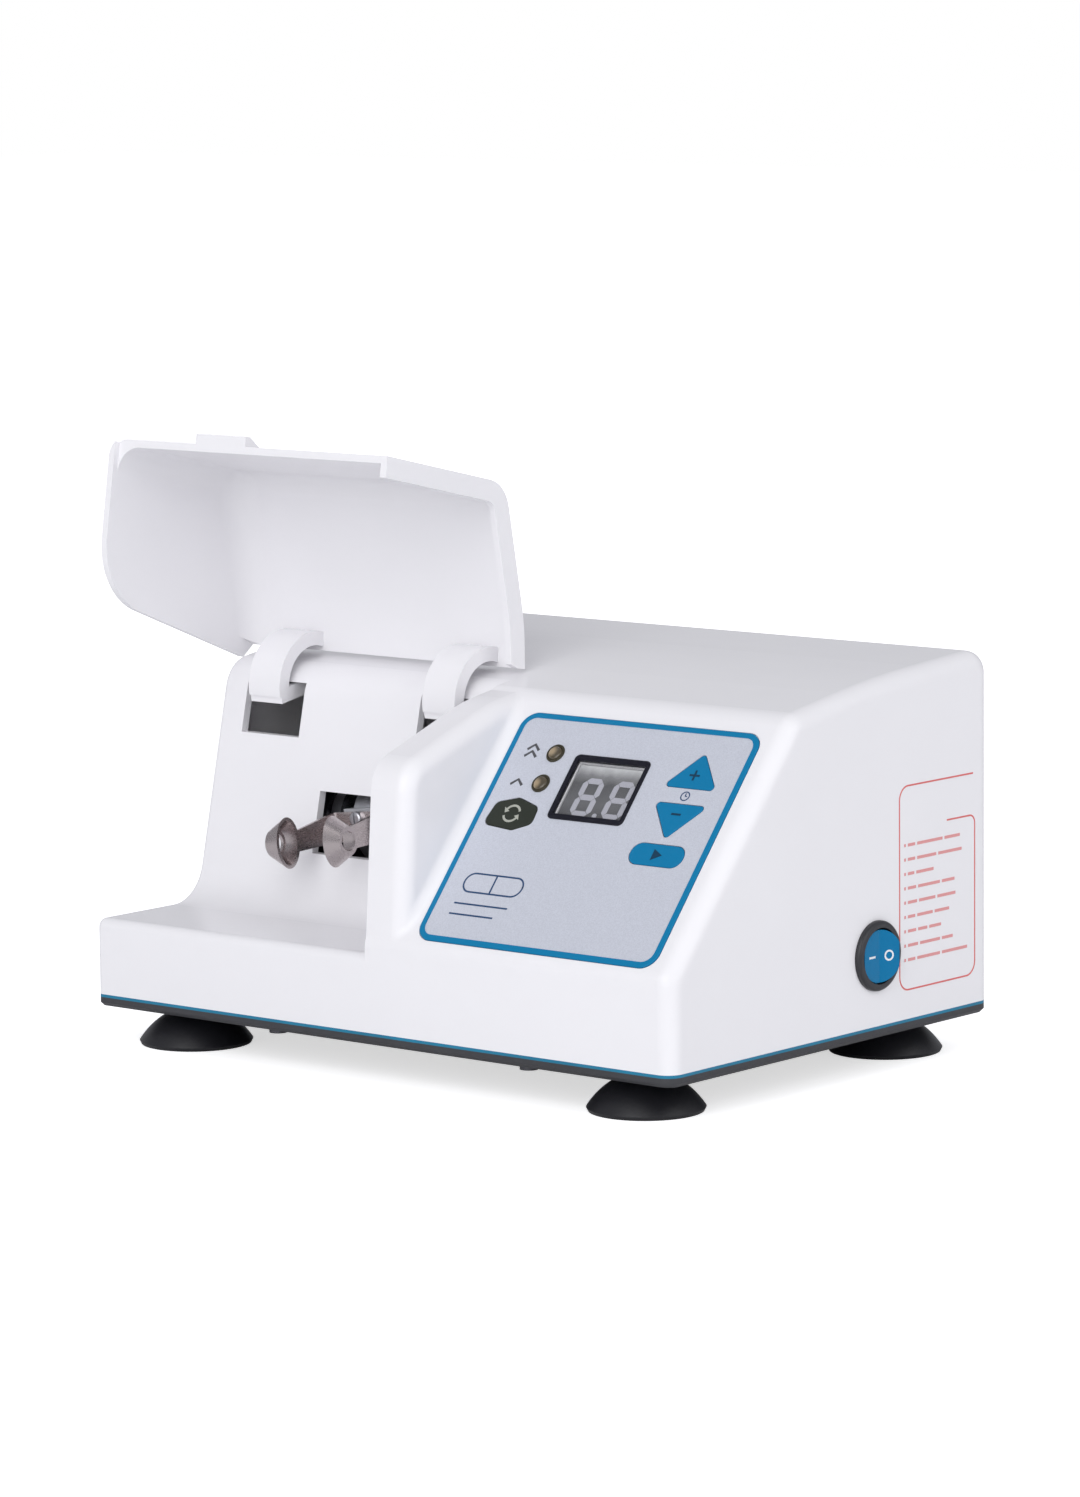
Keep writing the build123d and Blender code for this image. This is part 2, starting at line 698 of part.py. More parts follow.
with BuildPart() as shut_lid:
    with BuildSketch(side_plane(lid_wall)):
        lid_side(lid_foot, lid_back_gap, lid_corner_radius)
    extrude(amount=lid_right - lid_wall)
    # The left side, outside the housing, reaches lower and further back.
    with BuildSketch(side_plane(-lid_overhang)):
        lid_side(lid_foot - lid_skirt_drop, -lid_skirt_back, lid_skirt_radius)
    extrude(amount=lid_overhang + lid_wall)
    fillet(shut_lid.faces().sort_by(Axis.X)[0].edges().filter_by(above_slope), lid_edge_radius)
    add(main_hollow, mode=Mode.SUBTRACT)
    add(rim_hollow, mode=Mode.SUBTRACT)
    # Inside the housing's width the lid stays clear of the bay's floor and wall.
    with BuildSketch(side_plane(lid_wall - lid_overhang)):
        with BuildLine() as clearance:
            Polyline((2 * bay_floor_depth, -bay_floor_height), (-bay_floor_depth, -bay_floor_height),
                     (-bay_floor_depth, lid_foot), (wall_line(lid_foot) - lid_back_gap, lid_foot),
                     (wall_line(hinge_height) - lid_back_gap, hinge_height - lid_wall),
                     (lid_back_depth, ridge_line(lid_back_depth) - 1.5 * lid_wall),
                     (lid_back_depth, 2 * cheek_back[1]), (2 * bay_floor_depth, 2 * cheek_back[1]), close=True)
        make_face(clearance.edges())
    extrude(amount=2 * lid_wall, mode=Mode.SUBTRACT)
    # Finger tab under the front's lower edge.
    with BuildSketch(side_plane(tab_start)):
        with BuildLine():
            Polyline((lid_wall / 2, lid_foot), (-tab_reach, lid_foot), (-tab_reach, lid_foot + tab_height),
                     (front_line(lid_foot), lid_foot + tab_height + 2 * tab_reach),
                     (lid_wall / 2, lid_foot + tab_height + 2 * tab_reach), close=True)
        make_face()
    extrude(amount=tab_width)
    # Two curved arms that reach round the housing's brow to the hinge pins.
    for arm_x in arm_centres:
        with BuildSketch(side_plane(arm_x - arm_width / 2)):
            with Locations(hinge_point):
                Circle(arm_outer_radius)
                Circle(arm_inner_radius, mode=Mode.SUBTRACT)
            with BuildLine():
                reach = 2 * arm_outer_radius
                Polyline(hinge_point,
                         (hinge_depth + reach * cos(radians(arm_start_angle)),
                          hinge_height + reach * sin(radians(arm_start_angle))),
                         (hinge_depth - reach, hinge_height - reach),
                         (hinge_depth + reach * cos(radians(arm_web_angle)),
                          hinge_height + reach * sin(radians(arm_web_angle))), close=True)
            make_face(mode=Mode.INTERSECT)
            with Locations(hinge_point):
                Rectangle(arm_outer_radius - 0.6, arm_outer_radius - arm_inner_radius,
                          rotation=arm_web_angle, align=(Align.MIN, Align.CENTER))
                Circle(arm_boss_radius)
                Circle(pin_radius + running_gap, mode=Mode.SUBTRACT)
        extrude(amount=arm_width)
    # Pocket for the magnet in the rim.
    with BuildSketch(side_plane(lid_right)):
        with Locations(magnet_place):
            Circle(magnet_radius)
    extrude(amount=-magnet_thickness, mode=Mode.SUBTRACT)

with BuildPart() as lid:
    add(shut_lid.part.rotate(hinge_line, -lid_opening))
lid.part.label = "lid"
export_step(lid.part, "parts/lid.step")

with BuildPart() as shut_magnet:
    with BuildSketch(side_plane(lid_right)):
        with Locations(magnet_place):
            Circle(magnet_radius)
    extrude(amount=-magnet_thickness)

with BuildPart() as lid_magnet:
    add(shut_magnet.part.rotate(hinge_line, -lid_opening))
lid_magnet.part.label = "lid_magnet"
export_step(lid_magnet.part, "parts/lid_magnet.step")

# ------------------------------------------------------------ hinge pins and brackets
bracket_half = arm_width / 2 + bracket_gap + ear_thickness

with BuildSketch(Plane.XY) as roof_room:
    tower_outline(wall)

with BuildSketch(Plane.XY) as below_plate:
    tower_outline(wall + bracket_plate)

with BuildPart() as hinge_brackets:
    for arm_x in arm_centres:
        for ear_x in (arm_x - bracket_half, arm_x + bracket_half - ear_thickness):
            with BuildSketch(side_plane(ear_x)):
                with Locations(hinge_point):
                    Circle(ear_radius)
                    Rectangle(bracket_reach, 6 * ear_radius, align=(Align.MIN, Align.MIN))
                    Rectangle(bracket_reach, ear_radius, align=(Align.MIN, Align.MAX))
                add(roof_room.sketch, mode=Mode.INTERSECT)
                with Locations(hinge_point):
                    Circle(pin_radius, mode=Mode.SUBTRACT)
            extrude(amount=ear_thickness)
        with BuildSketch(side_plane(arm_x - bracket_half)):
            with Locations((hinge_depth + ear_radius + 2.0, hinge_height)):
                Rectangle(bracket_reach - ear_radius - 2.0, 6 * ear_radius, align=(Align.MIN, Align.MIN))
            add(roof_room.sketch, mode=Mode.INTERSECT)
            add(below_plate.sketch, mode=Mode.SUBTRACT)
        extrude(amount=2 * bracket_half)
hinge_brackets.part.label = "hinge_brackets"
export_step(hinge_brackets.part, "parts/hinge_brackets.step")

with BuildPart() as hinge_pins:
    for arm_x in arm_centres:
        with BuildSketch(side_plane(arm_x - bracket_half - 1.0)):
            with Locations(hinge_point):
                Circle(pin_radius)
        extrude(amount=2 * bracket_half + 2.0)
        for cap_x in (arm_x - bracket_half - 1.5, arm_x + bracket_half):
            with BuildSketch(side_plane(cap_x)):
                with Locations(hinge_point):
                    Circle(pin_radius + 1.0)
            extrude(amount=1.5)
hinge_pins.part.label = "hinge_pins"
export_step(hinge_pins.part, "parts/hinge_pins.step")

with BuildPart() as lid_sensor:
    sensor_corner = (magnet_place[0] - reed_size[1] / 2, magnet_place[1] - 2.5 * reed_size[2])
    with BuildSketch(side_plane(bay_width + wall)):
        with Locations(sensor_corner):
            Rectangle(reed_size[1], reed_size[2], align=(Align.MIN, Align.MIN))
    extrude(amount=reed_size[0])
    fillet(lid_sensor.edges().filter_by(Axis.Y), 0.8)
lid_sensor.part.label = "lid_sensor"
export_step(lid_sensor.part, "parts/lid_sensor.step")

# --------------------------------------------------------------- control panel parts
with BuildPart() as panel_border:
    with BuildSketch(panel_plane(-panel_recess)):
        with Locations(panel_centre):
            RectangleRounded(panel_width, panel_height, panel_corner_radius)
            RectangleRounded(panel_width - 2 * border_width, panel_height - 2 * border_width,
                             panel_corner_radius - border_width, mode=Mode.SUBTRACT)
    extrude(amount=border_thickness)
    rim_face = panel_border.faces().sort_by(out_of_panel)[-1]
    fillet(rim_face.outer_wire().edges(), border_thickness * 0.3)
panel_border.part.label = "panel_border"
export_step(panel_border.part, "parts/panel_border.step")

with BuildPart() as panel_overlay:
    with BuildSketch(panel_plane(-panel_recess)):
        with Locations(panel_centre):
            RectangleRounded(panel_width - 2 * border_width, panel_height - 2 * border_width,
                             panel_corner_radius - border_width)
        with Locations(display_centre):
            RectangleRounded(*display_size, display_corner_radius, mode=Mode.SUBTRACT)
        with Locations(lamp_centres):
            Circle(lamp_ring_radius, mode=Mode.SUBTRACT)
    extrude(amount=panel_thickness)
    for key_name in keys:
        with BuildSketch(panel_plane(-panel_recess)):
            key_shape(key_name, key_gap)
        extrude(amount=panel_thickness, mode=Mode.SUBTRACT)
panel_overlay.part.label = "panel_overlay"
export_step(panel_overlay.part, "parts/panel_overlay.step")

with BuildPart() as display_bezel:
    with BuildSketch(panel_plane(-panel_recess)):
        with Locations(display_centre):
            RectangleRounded(*display_size, display_corner_radius)
            Rectangle(*display_window_size, mode=Mode.SUBTRACT)
    extrude(amount=display_bezel_thickness)
    bezel_face = display_bezel.faces().sort_by(out_of_panel)[-1]
    chamfer(bezel_face.edges(), 0.4)
display_bezel.part.label = "display_bezel"
export_step(display_bezel.part, "parts/display_bezel.step")

with BuildPart() as display_pane:
    with BuildSketch(panel_plane(-panel_recess)):
        with Locations(display_centre):
            Rectangle(*display_window_size)
    extrude(amount=pane_thickness)
display_pane.part.label = "display_pane"
export_step(display_pane.part, "parts/display_pane.step")

with BuildPart() as display_module:
    with BuildSketch(panel_plane(-board_depth)):
        with Locations(display_centre):
            Rectangle(display_opening_size[0] - 2 * fit_gap, display_opening_size[1] - 2 * fit_gap)
    extrude(amount=board_depth - panel_recess - fit_gap)
display_module.part.label = "display_module"
export_step(display_module.part, "parts/display_module.step")

with BuildPart() as lamp_rings:
    with BuildSketch(panel_plane(-panel_recess)):
        with Locations(lamp_centres):
            Circle(lamp_ring_radius)
            Circle(lamp_lens_radius, mode=Mode.SUBTRACT)
    extrude(amount=panel_thickness + lamp_ring_height)
    chamfer(lamp_rings.faces().sort_by(out_of_panel)[-2:].edges(), 0.25)
lamp_rings.part.label = "lamp_rings"
export_step(lamp_rings.part, "parts/lamp_rings.step")

with BuildPart() as lamp_lenses:
    with BuildSketch(panel_plane(-wall)):
        with Locations(lamp_centres):
            Circle(lamp_lens_radius)
    extrude(amount=wall + lamp_lens_crown)
    fillet(lamp_lenses.faces().sort_by(out_of_panel)[-2:].edges().filter_by(
        GeomType.CIRCLE).group_by(out_of_panel)[-1], lamp_lens_crown * 0.8)
lamp_lenses.part.label = "lamp_lenses"
export_step(lamp_lenses.part, "parts/lamp_lenses.step")

with BuildPart() as lamps:
    with BuildSketch(panel_plane(-board_depth)):
        with Locations(lamp_centres):
            Circle(lamp_lens_radius)
    extrude(amount=board_depth - wall - 2 * lamp_lens_radius)
    fillet(lamps.faces().sort_by(out_of_panel)[-2:].edges(), lamp_lens_radius * 0.9)
lamps.part.label = "lamps"
export_step(lamps.part, "parts/lamps.step")

stem_length = board_depth - tact_total_height - key_travel - 0.1 - panel_recess
for key_name, (_, _, stem_place) in keys.items():
    with BuildPart() as key:
        with BuildSketch(panel_plane(-panel_recess)):
            key_shape(key_name)
        extrude(amount=key_cap_thickness)
        fillet(key.faces().sort_by(out_of_panel)[-1].edges(), 0.35)
        with BuildSketch(panel_plane(-panel_recess)):
            with Locations(stem_place):
                Circle(key_stem_radius)
        extrude(amount=-stem_length)
    key.part.label = key_name
    export_step(key.part, f"parts/{key_name}.step")

board_size = (panel_width - 2 * board_margin, panel_height - 2 * board_margin)
spacer_places = [(panel_centre[0] + i * (board_size[0] / 2 - 2 * spacer_radius),
                  panel_centre[1] + j * (board_size[1] / 2 - 2 * spacer_radius))
                 for i, j in ((-1, -1), (1, -1), (1, 1), (-1, 1))]

with BuildPart() as control_board:
    with BuildSketch(panel_plane(-board_depth)):
        with Locations(panel_centre):
            RectangleRounded(*board_size, 2.0)
        with Locations(spacer_places):
            Circle(board_screw_radius, mode=Mode.SUBTRACT)
    extrude(amount=-board_thickness)
control_board.part.label = "control_board"
export_step(control_board.part, "parts/control_board.step")

with BuildPart() as board_spacers:
    with BuildSketch(panel_plane(-board_depth)):
        with Locations(spacer_places):
            RegularPolygon(spacer_radius, 6)
            Circle(board_screw_radius, mode=Mode.SUBTRACT)
    extrude(amount=board_depth - wall)
board_spacers.part.label = "board_spacers"
export_step(board_spacers.part, "parts/board_spacers.step")

with BuildPart() as board_screws:
    with BuildSketch(panel_plane(-board_depth - board_thickness)):
        with Locations(spacer_places):
            Circle(board_screw_head_radius)
    extrude(amount=-board_screw_head_height)
    with BuildSketch(panel_plane(-board_depth - board_thickness)):
        with Locations(spacer_places):
            Circle(board_screw_radius)
    extrude(amount=board_thickness + board_depth / 2)
board_screws.part.label = "board_screws"
export_step(board_screws.part, "parts/board_screws.step")

with BuildPart() as key_switches:
    for _, _, stem_place in keys.values():
        with BuildSketch(panel_plane(-board_depth)):
            with Locations(stem_place):
                Rectangle(tact_size, tact_size)
        extrude(amount=tact_height)
        with BuildSketch(panel_plane(-board_depth)):
            with Locations(stem_place):
                Circle(tact_button_radius)
        extrude(amount=tact_total_height)
key_switches.part.label = "key_switches"
export_step(key_switches.part, "parts/key_switches.step")

# --------------------------------------------------------------------- rocker switch
pivot_x = housing_width - rocker_pivot_inset
switch_face = side_plane(housing_width)
well_depth = rocker_radius + 1.0

with BuildPart() as switch_body:
    with BuildSketch(switch_face):
        with Locations((switch_depth, switch_height)):
            Circle(switch_bezel_radius)
    extrude(amount=switch_bezel_thickness)
    fillet(switch_body.faces().sort_by(Axis.X)[-1].edges(), switch_bezel_thickness * 0.6)
    with BuildSketch(switch_face):
        with Locations((switch_depth, switch_height)):
            Circle(switch_barrel_radius)
    extrude(amount=-switch_barrel_length)
    with BuildSketch(side_plane(housing_width + switch_bezel_thickness)):
        with Locations((switch_depth, switch_height)):
            Circle(switch_well_radius)
    extrude(amount=-(switch_bezel_thickness + rocker_pivot_inset + well_depth), mode=Mode.SUBTRACT)
    with BuildSketch(Plane(origin=at(pivot_x, switch_depth, switch_height))):
        Circle(rocker_trunnion_radius + running_gap)
    extrude(amount=switch_barrel_radius - 0.1, both=True, mode=Mode.SUBTRACT)
    with BuildSketch(side_plane(housing_width - switch_barrel_length)):
        with Locations([(switch_depth + shift, switch_height) for shift in (-5.0, 0.0, 5.0)]):
            Rectangle(terminal_size[0], terminal_size[1])
    extrude(amount=-terminal_size[2])
switch_body.part.label = "switch_body"
export_step(switch_body.part, "parts/switch_body.step")

with BuildPart() as level_rocker:
    with BuildSketch(Plane(origin=at(pivot_x, switch_depth, switch_height))):
        Circle(rocker_radius)
        with BuildLine():
            Polyline((rocker_valley, 0),
                     (rocker_valley + 2 * rocker_radius * valley_slope, 2 * rocker_radius),
                     (4 * rocker_radius, 2 * rocker_radius), (4 * rocker_radius, -2 * rocker_radius),
                     (rocker_valley + 2 * rocker_radius * valley_slope, -2 * rocker_radius), close=True)
        make_face(mode=Mode.SUBTRACT)
        with Locations((-rocker_skirt, 0)):
            Rectangle(2 * rocker_radius, 4 * rocker_radius, align=(Align.MAX, Align.CENTER),
                      mode=Mode.SUBTRACT)
    extrude(amount=rocker_radius, both=True)
    with BuildSketch(side_plane(pivot_x - rocker_radius)):
        with Locations((switch_depth, switch_height)):
            Circle(rocker_radius)
    extrude(amount=3 * rocker_radius, mode=Mode.INTERSECT)
    with BuildSketch(Plane(origin=at(pivot_x, switch_depth, switch_height))):
        Circle(rocker_trunnion_radius)
    extrude(amount=switch_barrel_radius - 0.3, both=True)

with BuildPart() as rocker:
    rocker_line = Axis(at(pivot_x, switch_depth, switch_height), (0, 0, 1))
    add(level_rocker.part.rotate(rocker_line, -rocker_tilt))
rocker.part.label = "rocker"
export_step(rocker.part, "parts/rocker.step")

# ------------------------------------------------------------------- back panel parts
with BuildPart() as cord_gland:
    with BuildSketch(front_plane(housing_depth)):
        with Locations(gland_centre):
            Circle(gland_flange_radius)
    extrude(amount=-gland_flange_thickness)
    with BuildSketch(front_plane(housing_depth + gland_flange_thickness)):
        with Locations(gland_centre):
            Circle(gland_nose_radius)
    extrude(amount=-(gland_proud - gland_flange_thickness), taper=4)
    with BuildSketch(front_plane(housing_depth)):
        with Locations(gland_centre):
            Circle(gland_nose_radius)
    extrude(amount=wall + gland_inner_length)
    with BuildSketch(front_plane(housing_depth + gland_proud)):
        with Locations(gland_centre):
            Circle(gland_bore_radius)
    extrude(amount=gland_proud + wall + gland_inner_length, mode=Mode.SUBTRACT)
cord_gland.part.label = "cord_gland"
export_step(cord_gland.part, "parts/cord_gland.step")

with BuildPart() as gland_nut:
    with BuildSketch(front_plane(housing_depth - wall)):
        with Locations(gland_centre):
            RegularPolygon(gland_flange_radius, 6)
            Circle(gland_nose_radius, mode=Mode.SUBTRACT)
    extrude(amount=4.0)
gland_nut.part.label = "gland_nut"
export_step(gland_nut.part, "parts/gland_nut.step")

with BuildPart() as fuse_holder:
    with BuildSketch(front_plane(housing_depth)):
        with Locations(fuse_centre):
            Circle(fuse_flange_radius)
    extrude(amount=-fuse_flange_thickness)
    with BuildSketch(front_plane(housing_depth)):
        with Locations(fuse_centre):
            Circle(fuse_barrel_radius)
    extrude(amount=fuse_barrel_length)
    with BuildSketch(front_plane(housing_depth + fuse_flange_thickness)):
        with Locations(fuse_centre):
            Circle(fuse_cap_radius + fit_gap)
    extrude(amount=fuse_flange_thickness + fuse_barrel_length - 2.0, mode=Mode.SUBTRACT)
fuse_holder.part.label = "fuse_holder"
export_step(fuse_holder.part, "parts/fuse_holder.step")

with BuildPart() as fuse_cap:
    with BuildSketch(front_plane(housing_depth + fuse_cap_proud)):
        with Locations(fuse_centre):
            Circle(fuse_cap_radius)
    extrude(amount=fuse_cap_proud + fuse_barrel_length / 2)
    with BuildSketch(front_plane(housing_depth + fuse_cap_proud)):
        with Locations(fuse_centre):
            Circle(fuse_flange_radius - 1.0)
    extrude(amount=fuse_cap_proud - fuse_flange_thickness - fit_gap)
    fillet(fuse_cap.faces().sort_by(Axis.Y)[-1].edges(), 0.8)
    with BuildSketch(front_plane(housing_depth + fuse_cap_proud)):
        with Locations(fuse_centre):
            Rectangle(1.6, 2 * fuse_cap_radius)
    extrude(amount=1.4, mode=Mode.SUBTRACT)
fuse_cap.part.label = "fuse_cap"
export_step(fuse_cap.part, "parts/fuse_cap.step")

# ------------------------------------------------------------------- mixing drive
# The shaft runs along x. A journal tilted on it rocks the fork's hub, which
# two springs keep from turning.
wobble = radians(wobble_angle)
hub_frame = Plane(origin=at(*hub_place), x_dir=(cos(wobble), 0, sin(wobble)),
                  z_dir=(-sin(wobble), 0, cos(wobble)))
tilted_axis = hub_frame.x_dir


def hub_side(shift):
    """Plane square to the tilted axis: local x runs back and local y up."""
    return Plane(origin=hub_frame.from_local_coords((shift, 0, 0)), x_dir=(0, 1, 0), z_dir=tilted_axis)


def hub_front(reach):
    """Plane of the rocking frame facing the front: local x runs right and local y up."""
    return Plane(origin=hub_frame.from_local_coords((0, reach, 0)), x_dir=tilted_axis, z_dir=(0, -1, 0))


def shaft_plane(x):
    """Plane square to the shaft, centred on it."""
    return Plane(origin=at(x, hub_y, hub_z), x_dir=(0, 1, 0), z_dir=(1, 0, 0))


with BuildPart() as fork_hub:
    with BuildSketch(hub_side(-hub_width / 2)):
        Circle(hub_radius)
    extrude(amount=hub_width)
    chamfer(fork_hub.edges().filter_by(GeomType.CIRCLE), small_chamfer)
    # Pad for the fork at the front, lug for the springs at the back.
    with BuildSketch(hub_front(-hub_pad_reach)):
        Rectangle(*hub_pad_size)
    extrude(amount=-hub_pad_reach + hub_bearing_radius)
    with BuildSketch(hub_front(lug_reach)):
        Rectangle(*lug_size)
    extrude(amount=lug_reach - hub_bearing_radius)
    with BuildSketch(hub_side(-hub_width / 2)):
        Circle(hub_bearing_radius)
    extrude(amount=hub_width / 2 + bearing_width / 2, mode=Mode.SUBTRACT)
    with BuildSketch(hub_side(0)):
        Circle(hub_bearing_radius - 2.0)
    extrude(amount=hub_width, mode=Mode.SUBTRACT)
    with BuildSketch(hub_front(-hub_pad_reach)):
        with Locations((0, fork_screw_height)):
            Circle(fork_screw_radius)
    extrude(amount=-fork_screw_depth, mode=Mode.SUBTRACT)
fork_hub.part.label = "fork_hub"
export_step(fork_hub.part, "parts/fork_hub.step")


def ring(bore, outer):
    """Flat ring in the open sketch."""
    Circle(outer)
    Circle(bore, mode=Mode.SUBTRACT)


with BuildPart() as hub_bearing:
    with BuildSketch(hub_side(-bearing_width / 2)):
        ring(journal_radius + running_gap, hub_bearing_radius)
    extrude(amount=bearing_width)
    for face_shift, depth in ((-bearing_width / 2, shield_depth), (bearing_width / 2, -shield_depth)):
        with BuildSketch(hub_side(face_shift)):
            ring(journal_radius + shield_width, hub_bearing_radius - shield_width)
        extrude(amount=depth, mode=Mode.SUBTRACT)
hub_bearing.part.label = "hub_bearing"
export_step(hub_bearing.part, "parts/hub_bearing.step")

# The fork: one strip of metal bent into two arms with dished ears.
arm_x_outer = fork_half_gap + fork_thickness
web_reach = -hub_pad_reach - fork_thickness

with BuildPart() as fork:
    for hand in (-1, 1):
        arm_end = -fork_reach + ear_rim[0] - fork_thickness
        with BuildSketch(hub_side(hand * fork_half_gap)):
            with BuildLine():
                Polyline((web_reach + fork_thickness, -fork_arm_height / 2),
                         (web_reach + fork_thickness, fork_arm_height / 2),
                         (web_reach, fork_arm_height / 2), (arm_end, fork_neck_height / 2 - fork_drop),
                         (arm_end, -fork_neck_height / 2 - fork_drop),
                         (web_reach, -fork_arm_height / 2), close=True)
            make_face()
        extrude(amount=hand * fork_thickness)
        # Ear: an oval dish pressed outwards, with a hole for the capsule's tip.
        ear_plane = Plane(origin=hub_frame.from_local_coords((hand * fork_half_gap, -fork_reach, -fork_drop)),
                          x_dir=(0, 1, 0), z_dir=tilted_axis * hand)
        with BuildSketch(ear_plane):
            Ellipse(*ear_rim)
        with BuildSketch(ear_plane.offset(ear_dish_depth + fork_thickness)):
            Ellipse(*ear_apex)
        loft()
        with BuildSketch(ear_plane):
            Ellipse(ear_rim[0] - fork_thickness, ear_rim[1] - fork_thickness)
        with BuildSketch(ear_plane.offset(ear_dish_depth)):
            Ellipse(ear_apex[0] - ear_lip, ear_apex[1] - ear_lip)
        loft(mode=Mode.SUBTRACT)
        with BuildSketch(ear_plane.offset(ear_dish_depth)):
            Circle(ear_hole_radius)
        extrude(amount=2 * fork_thickness, mode=Mode.SUBTRACT)
    with BuildSketch(hub_front(web_reach)):
        Rectangle(2 * arm_x_outer, fork_arm_height)
    extrude(amount=-fork_thickness)
    web_corners = fork.edges().filter_by(Axis(at(0, 0, 0), hub_frame.z_dir)).filter_by_position(
        Axis.Y, at(0, hub_y + web_reach, 0).Y - 0.01, at(0, hub_y + web_reach, 0).Y + 0.01)
    fillet([web_corners.sort_by(Axis.X)[0], web_corners.sort_by(Axis.X)[-1]], fork_thickness * 0.9)
    with BuildSketch(hub_front(web_reach)):
        with Locations((0, fork_screw_height)):
            Circle(fork_screw_radius + fit_gap)
    extrude(amount=-fork_thickness, mode=Mode.SUBTRACT)
fork.part.label = "fork"
export_step(fork.part, "parts/fork.step")

with BuildPart() as fork_screw:
    with BuildSketch(hub_front(web_reach)):
        with Locations((0, fork_screw_height)):
            Circle(fork_screw_head_radius)
    extrude(amount=fork_screw_head_height)
    fillet(fork_screw.faces().sort_by(Axis.Y)[0].edges(), fork_screw_head_height / 2)
    with BuildSketch(hub_front(web_reach)):
        with Locations((0, fork_screw_height)):
            Circle(fork_screw_radius)
    extrude(amount=-(fork_thickness + fork_screw_depth))
    with BuildSketch(hub_front(web_reach - fork_screw_head_height)):
        with Locations((0, fork_screw_height)):
            Rectangle(screw_slot_width, 3 * fork_screw_head_radius)
    extrude(amount=-screw_slot_width, mode=Mode.SUBTRACT)
fork_screw.part.label = "fork_screw"
export_step(fork_screw.part, "parts/fork_screw.step")

# Rotating parts on the shaft.
shaft_start = stand_places[0] - 3.0
shaft_end = coupling_place + coupling_length / 2

with BuildPart() as rotor_shaft:
    with BuildSketch(shaft_plane(shaft_start)):
        Circle(shaft_radius)
    extrude(amount=shaft_end - shaft_start)
    chamfer(rotor_shaft.edges(), 0.4)
rotor_shaft.part.label = "rotor_shaft"
export_step(rotor_shaft.part, "parts/rotor_shaft.step")

with BuildPart() as tilted_journal:
    with BuildSketch(hub_side(-journal_length / 2)):
        Circle(journal_radius)
    extrude(amount=journal_length)
    with BuildSketch(shaft_plane(hub_x - journal_length)):
        Circle(shaft_radius)
    extrude(amount=2 * journal_length, mode=Mode.SUBTRACT)
tilted_journal.part.label = "tilted_journal"
export_step(tilted_journal.part, "parts/tilted_journal.step")

with BuildPart() as balance_weights:
    for weight_x, heavy in ((hub_x - weight_gap - weight_thickness, 1), (hub_x + weight_gap, -1)):
        with BuildSketch(shaft_plane(weight_x)):
            Circle(weight_radius)
            with Locations((0, -heavy * weight_radius / 2)):
                Rectangle(2 * weight_radius, weight_radius, mode=Mode.SUBTRACT)
            Circle(shaft_radius + 3.0)
            Circle(shaft_radius, mode=Mode.SUBTRACT)
        extrude(amount=weight_thickness)
balance_weights.part.label = "balance_weights"
export_step(balance_weights.part, "parts/balance_weights.step")

with BuildPart() as shaft_coupling:
    with BuildSketch(shaft_plane(coupling_place)):
        Circle(coupling_radius)
    extrude(amount=coupling_length)
    chamfer(shaft_coupling.edges(), 0.6)
    with BuildSketch(shaft_plane(coupling_place + coupling_length / 2 - 1.0)):
        Circle(coupling_radius)
        Circle(coupling_radius - 2.0, mode=Mode.SUBTRACT)
    extrude(amount=2.0, mode=Mode.SUBTRACT)
    with BuildSketch(shaft_plane(coupling_place)):
        Circle(shaft_radius)
    extrude(amount=coupling_length / 2, mode=Mode.SUBTRACT)
    with BuildSketch(shaft_plane(coupling_place + coupling_length / 2)):
        Circle(motor_shaft_radius)
    extrude(amount=coupling_length / 2, mode=Mode.SUBTRACT)
shaft_coupling.part.label = "shaft_coupling"
export_step(shaft_coupling.part, "parts/shaft_coupling.step")

motor_face = motor_flange_place + motor_flange_thickness
armature_start = motor_face + (motor_length - armature_length) / 2
motor_shaft_end = motor_face + motor_length - motor_wall

with BuildPart() as armature:
    with BuildSketch(shaft_plane(coupling_place + coupling_length / 2)):
        Circle(motor_shaft_radius)
    extrude(amount=motor_shaft_end - coupling_place - coupling_length / 2)
    with BuildSketch(shaft_plane(armature_start)):
        Circle(armature_radius)
        with PolarLocations(armature_radius, 8):
            Rectangle(5.0, 2.0, mode=Mode.SUBTRACT)
    extrude(amount=armature_length)
    with BuildSketch(shaft_plane(armature_start + armature_length + 2.0)):
        Circle(armature_radius / 2)
    extrude(amount=8.0)
armature.part.label = "armature"
export_step(armature.part, "parts/armature.step")

# Standing parts of the drive.
with BuildPart() as shaft_bearings:
    for place in stand_places:
        with BuildSketch(shaft_plane(place)):
            ring(shaft_radius + running_gap, shaft_bearing_radius)
        extrude(amount=bearing_width)
        for face_x, depth in ((place, shield_depth), (place + bearing_width, -shield_depth)):
            with BuildSketch(shaft_plane(face_x)):
                ring(shaft_radius + shield_width, shaft_bearing_radius - shield_width)
            extrude(amount=depth, mode=Mode.SUBTRACT)
shaft_bearings.part.label = "shaft_bearings"
export_step(shaft_bearings.part, "parts/shaft_bearings.step")

plate_top = frame_foot_height + frame_plate_thickness
isolator_places = [(x, y) for x in (frame_left + 2 * isolator_radius, frame_right - 2 * isolator_radius)
                   for y in (frame_front + 1.3 * isolator_radius, frame_back - 1.3 * isolator_radius)]

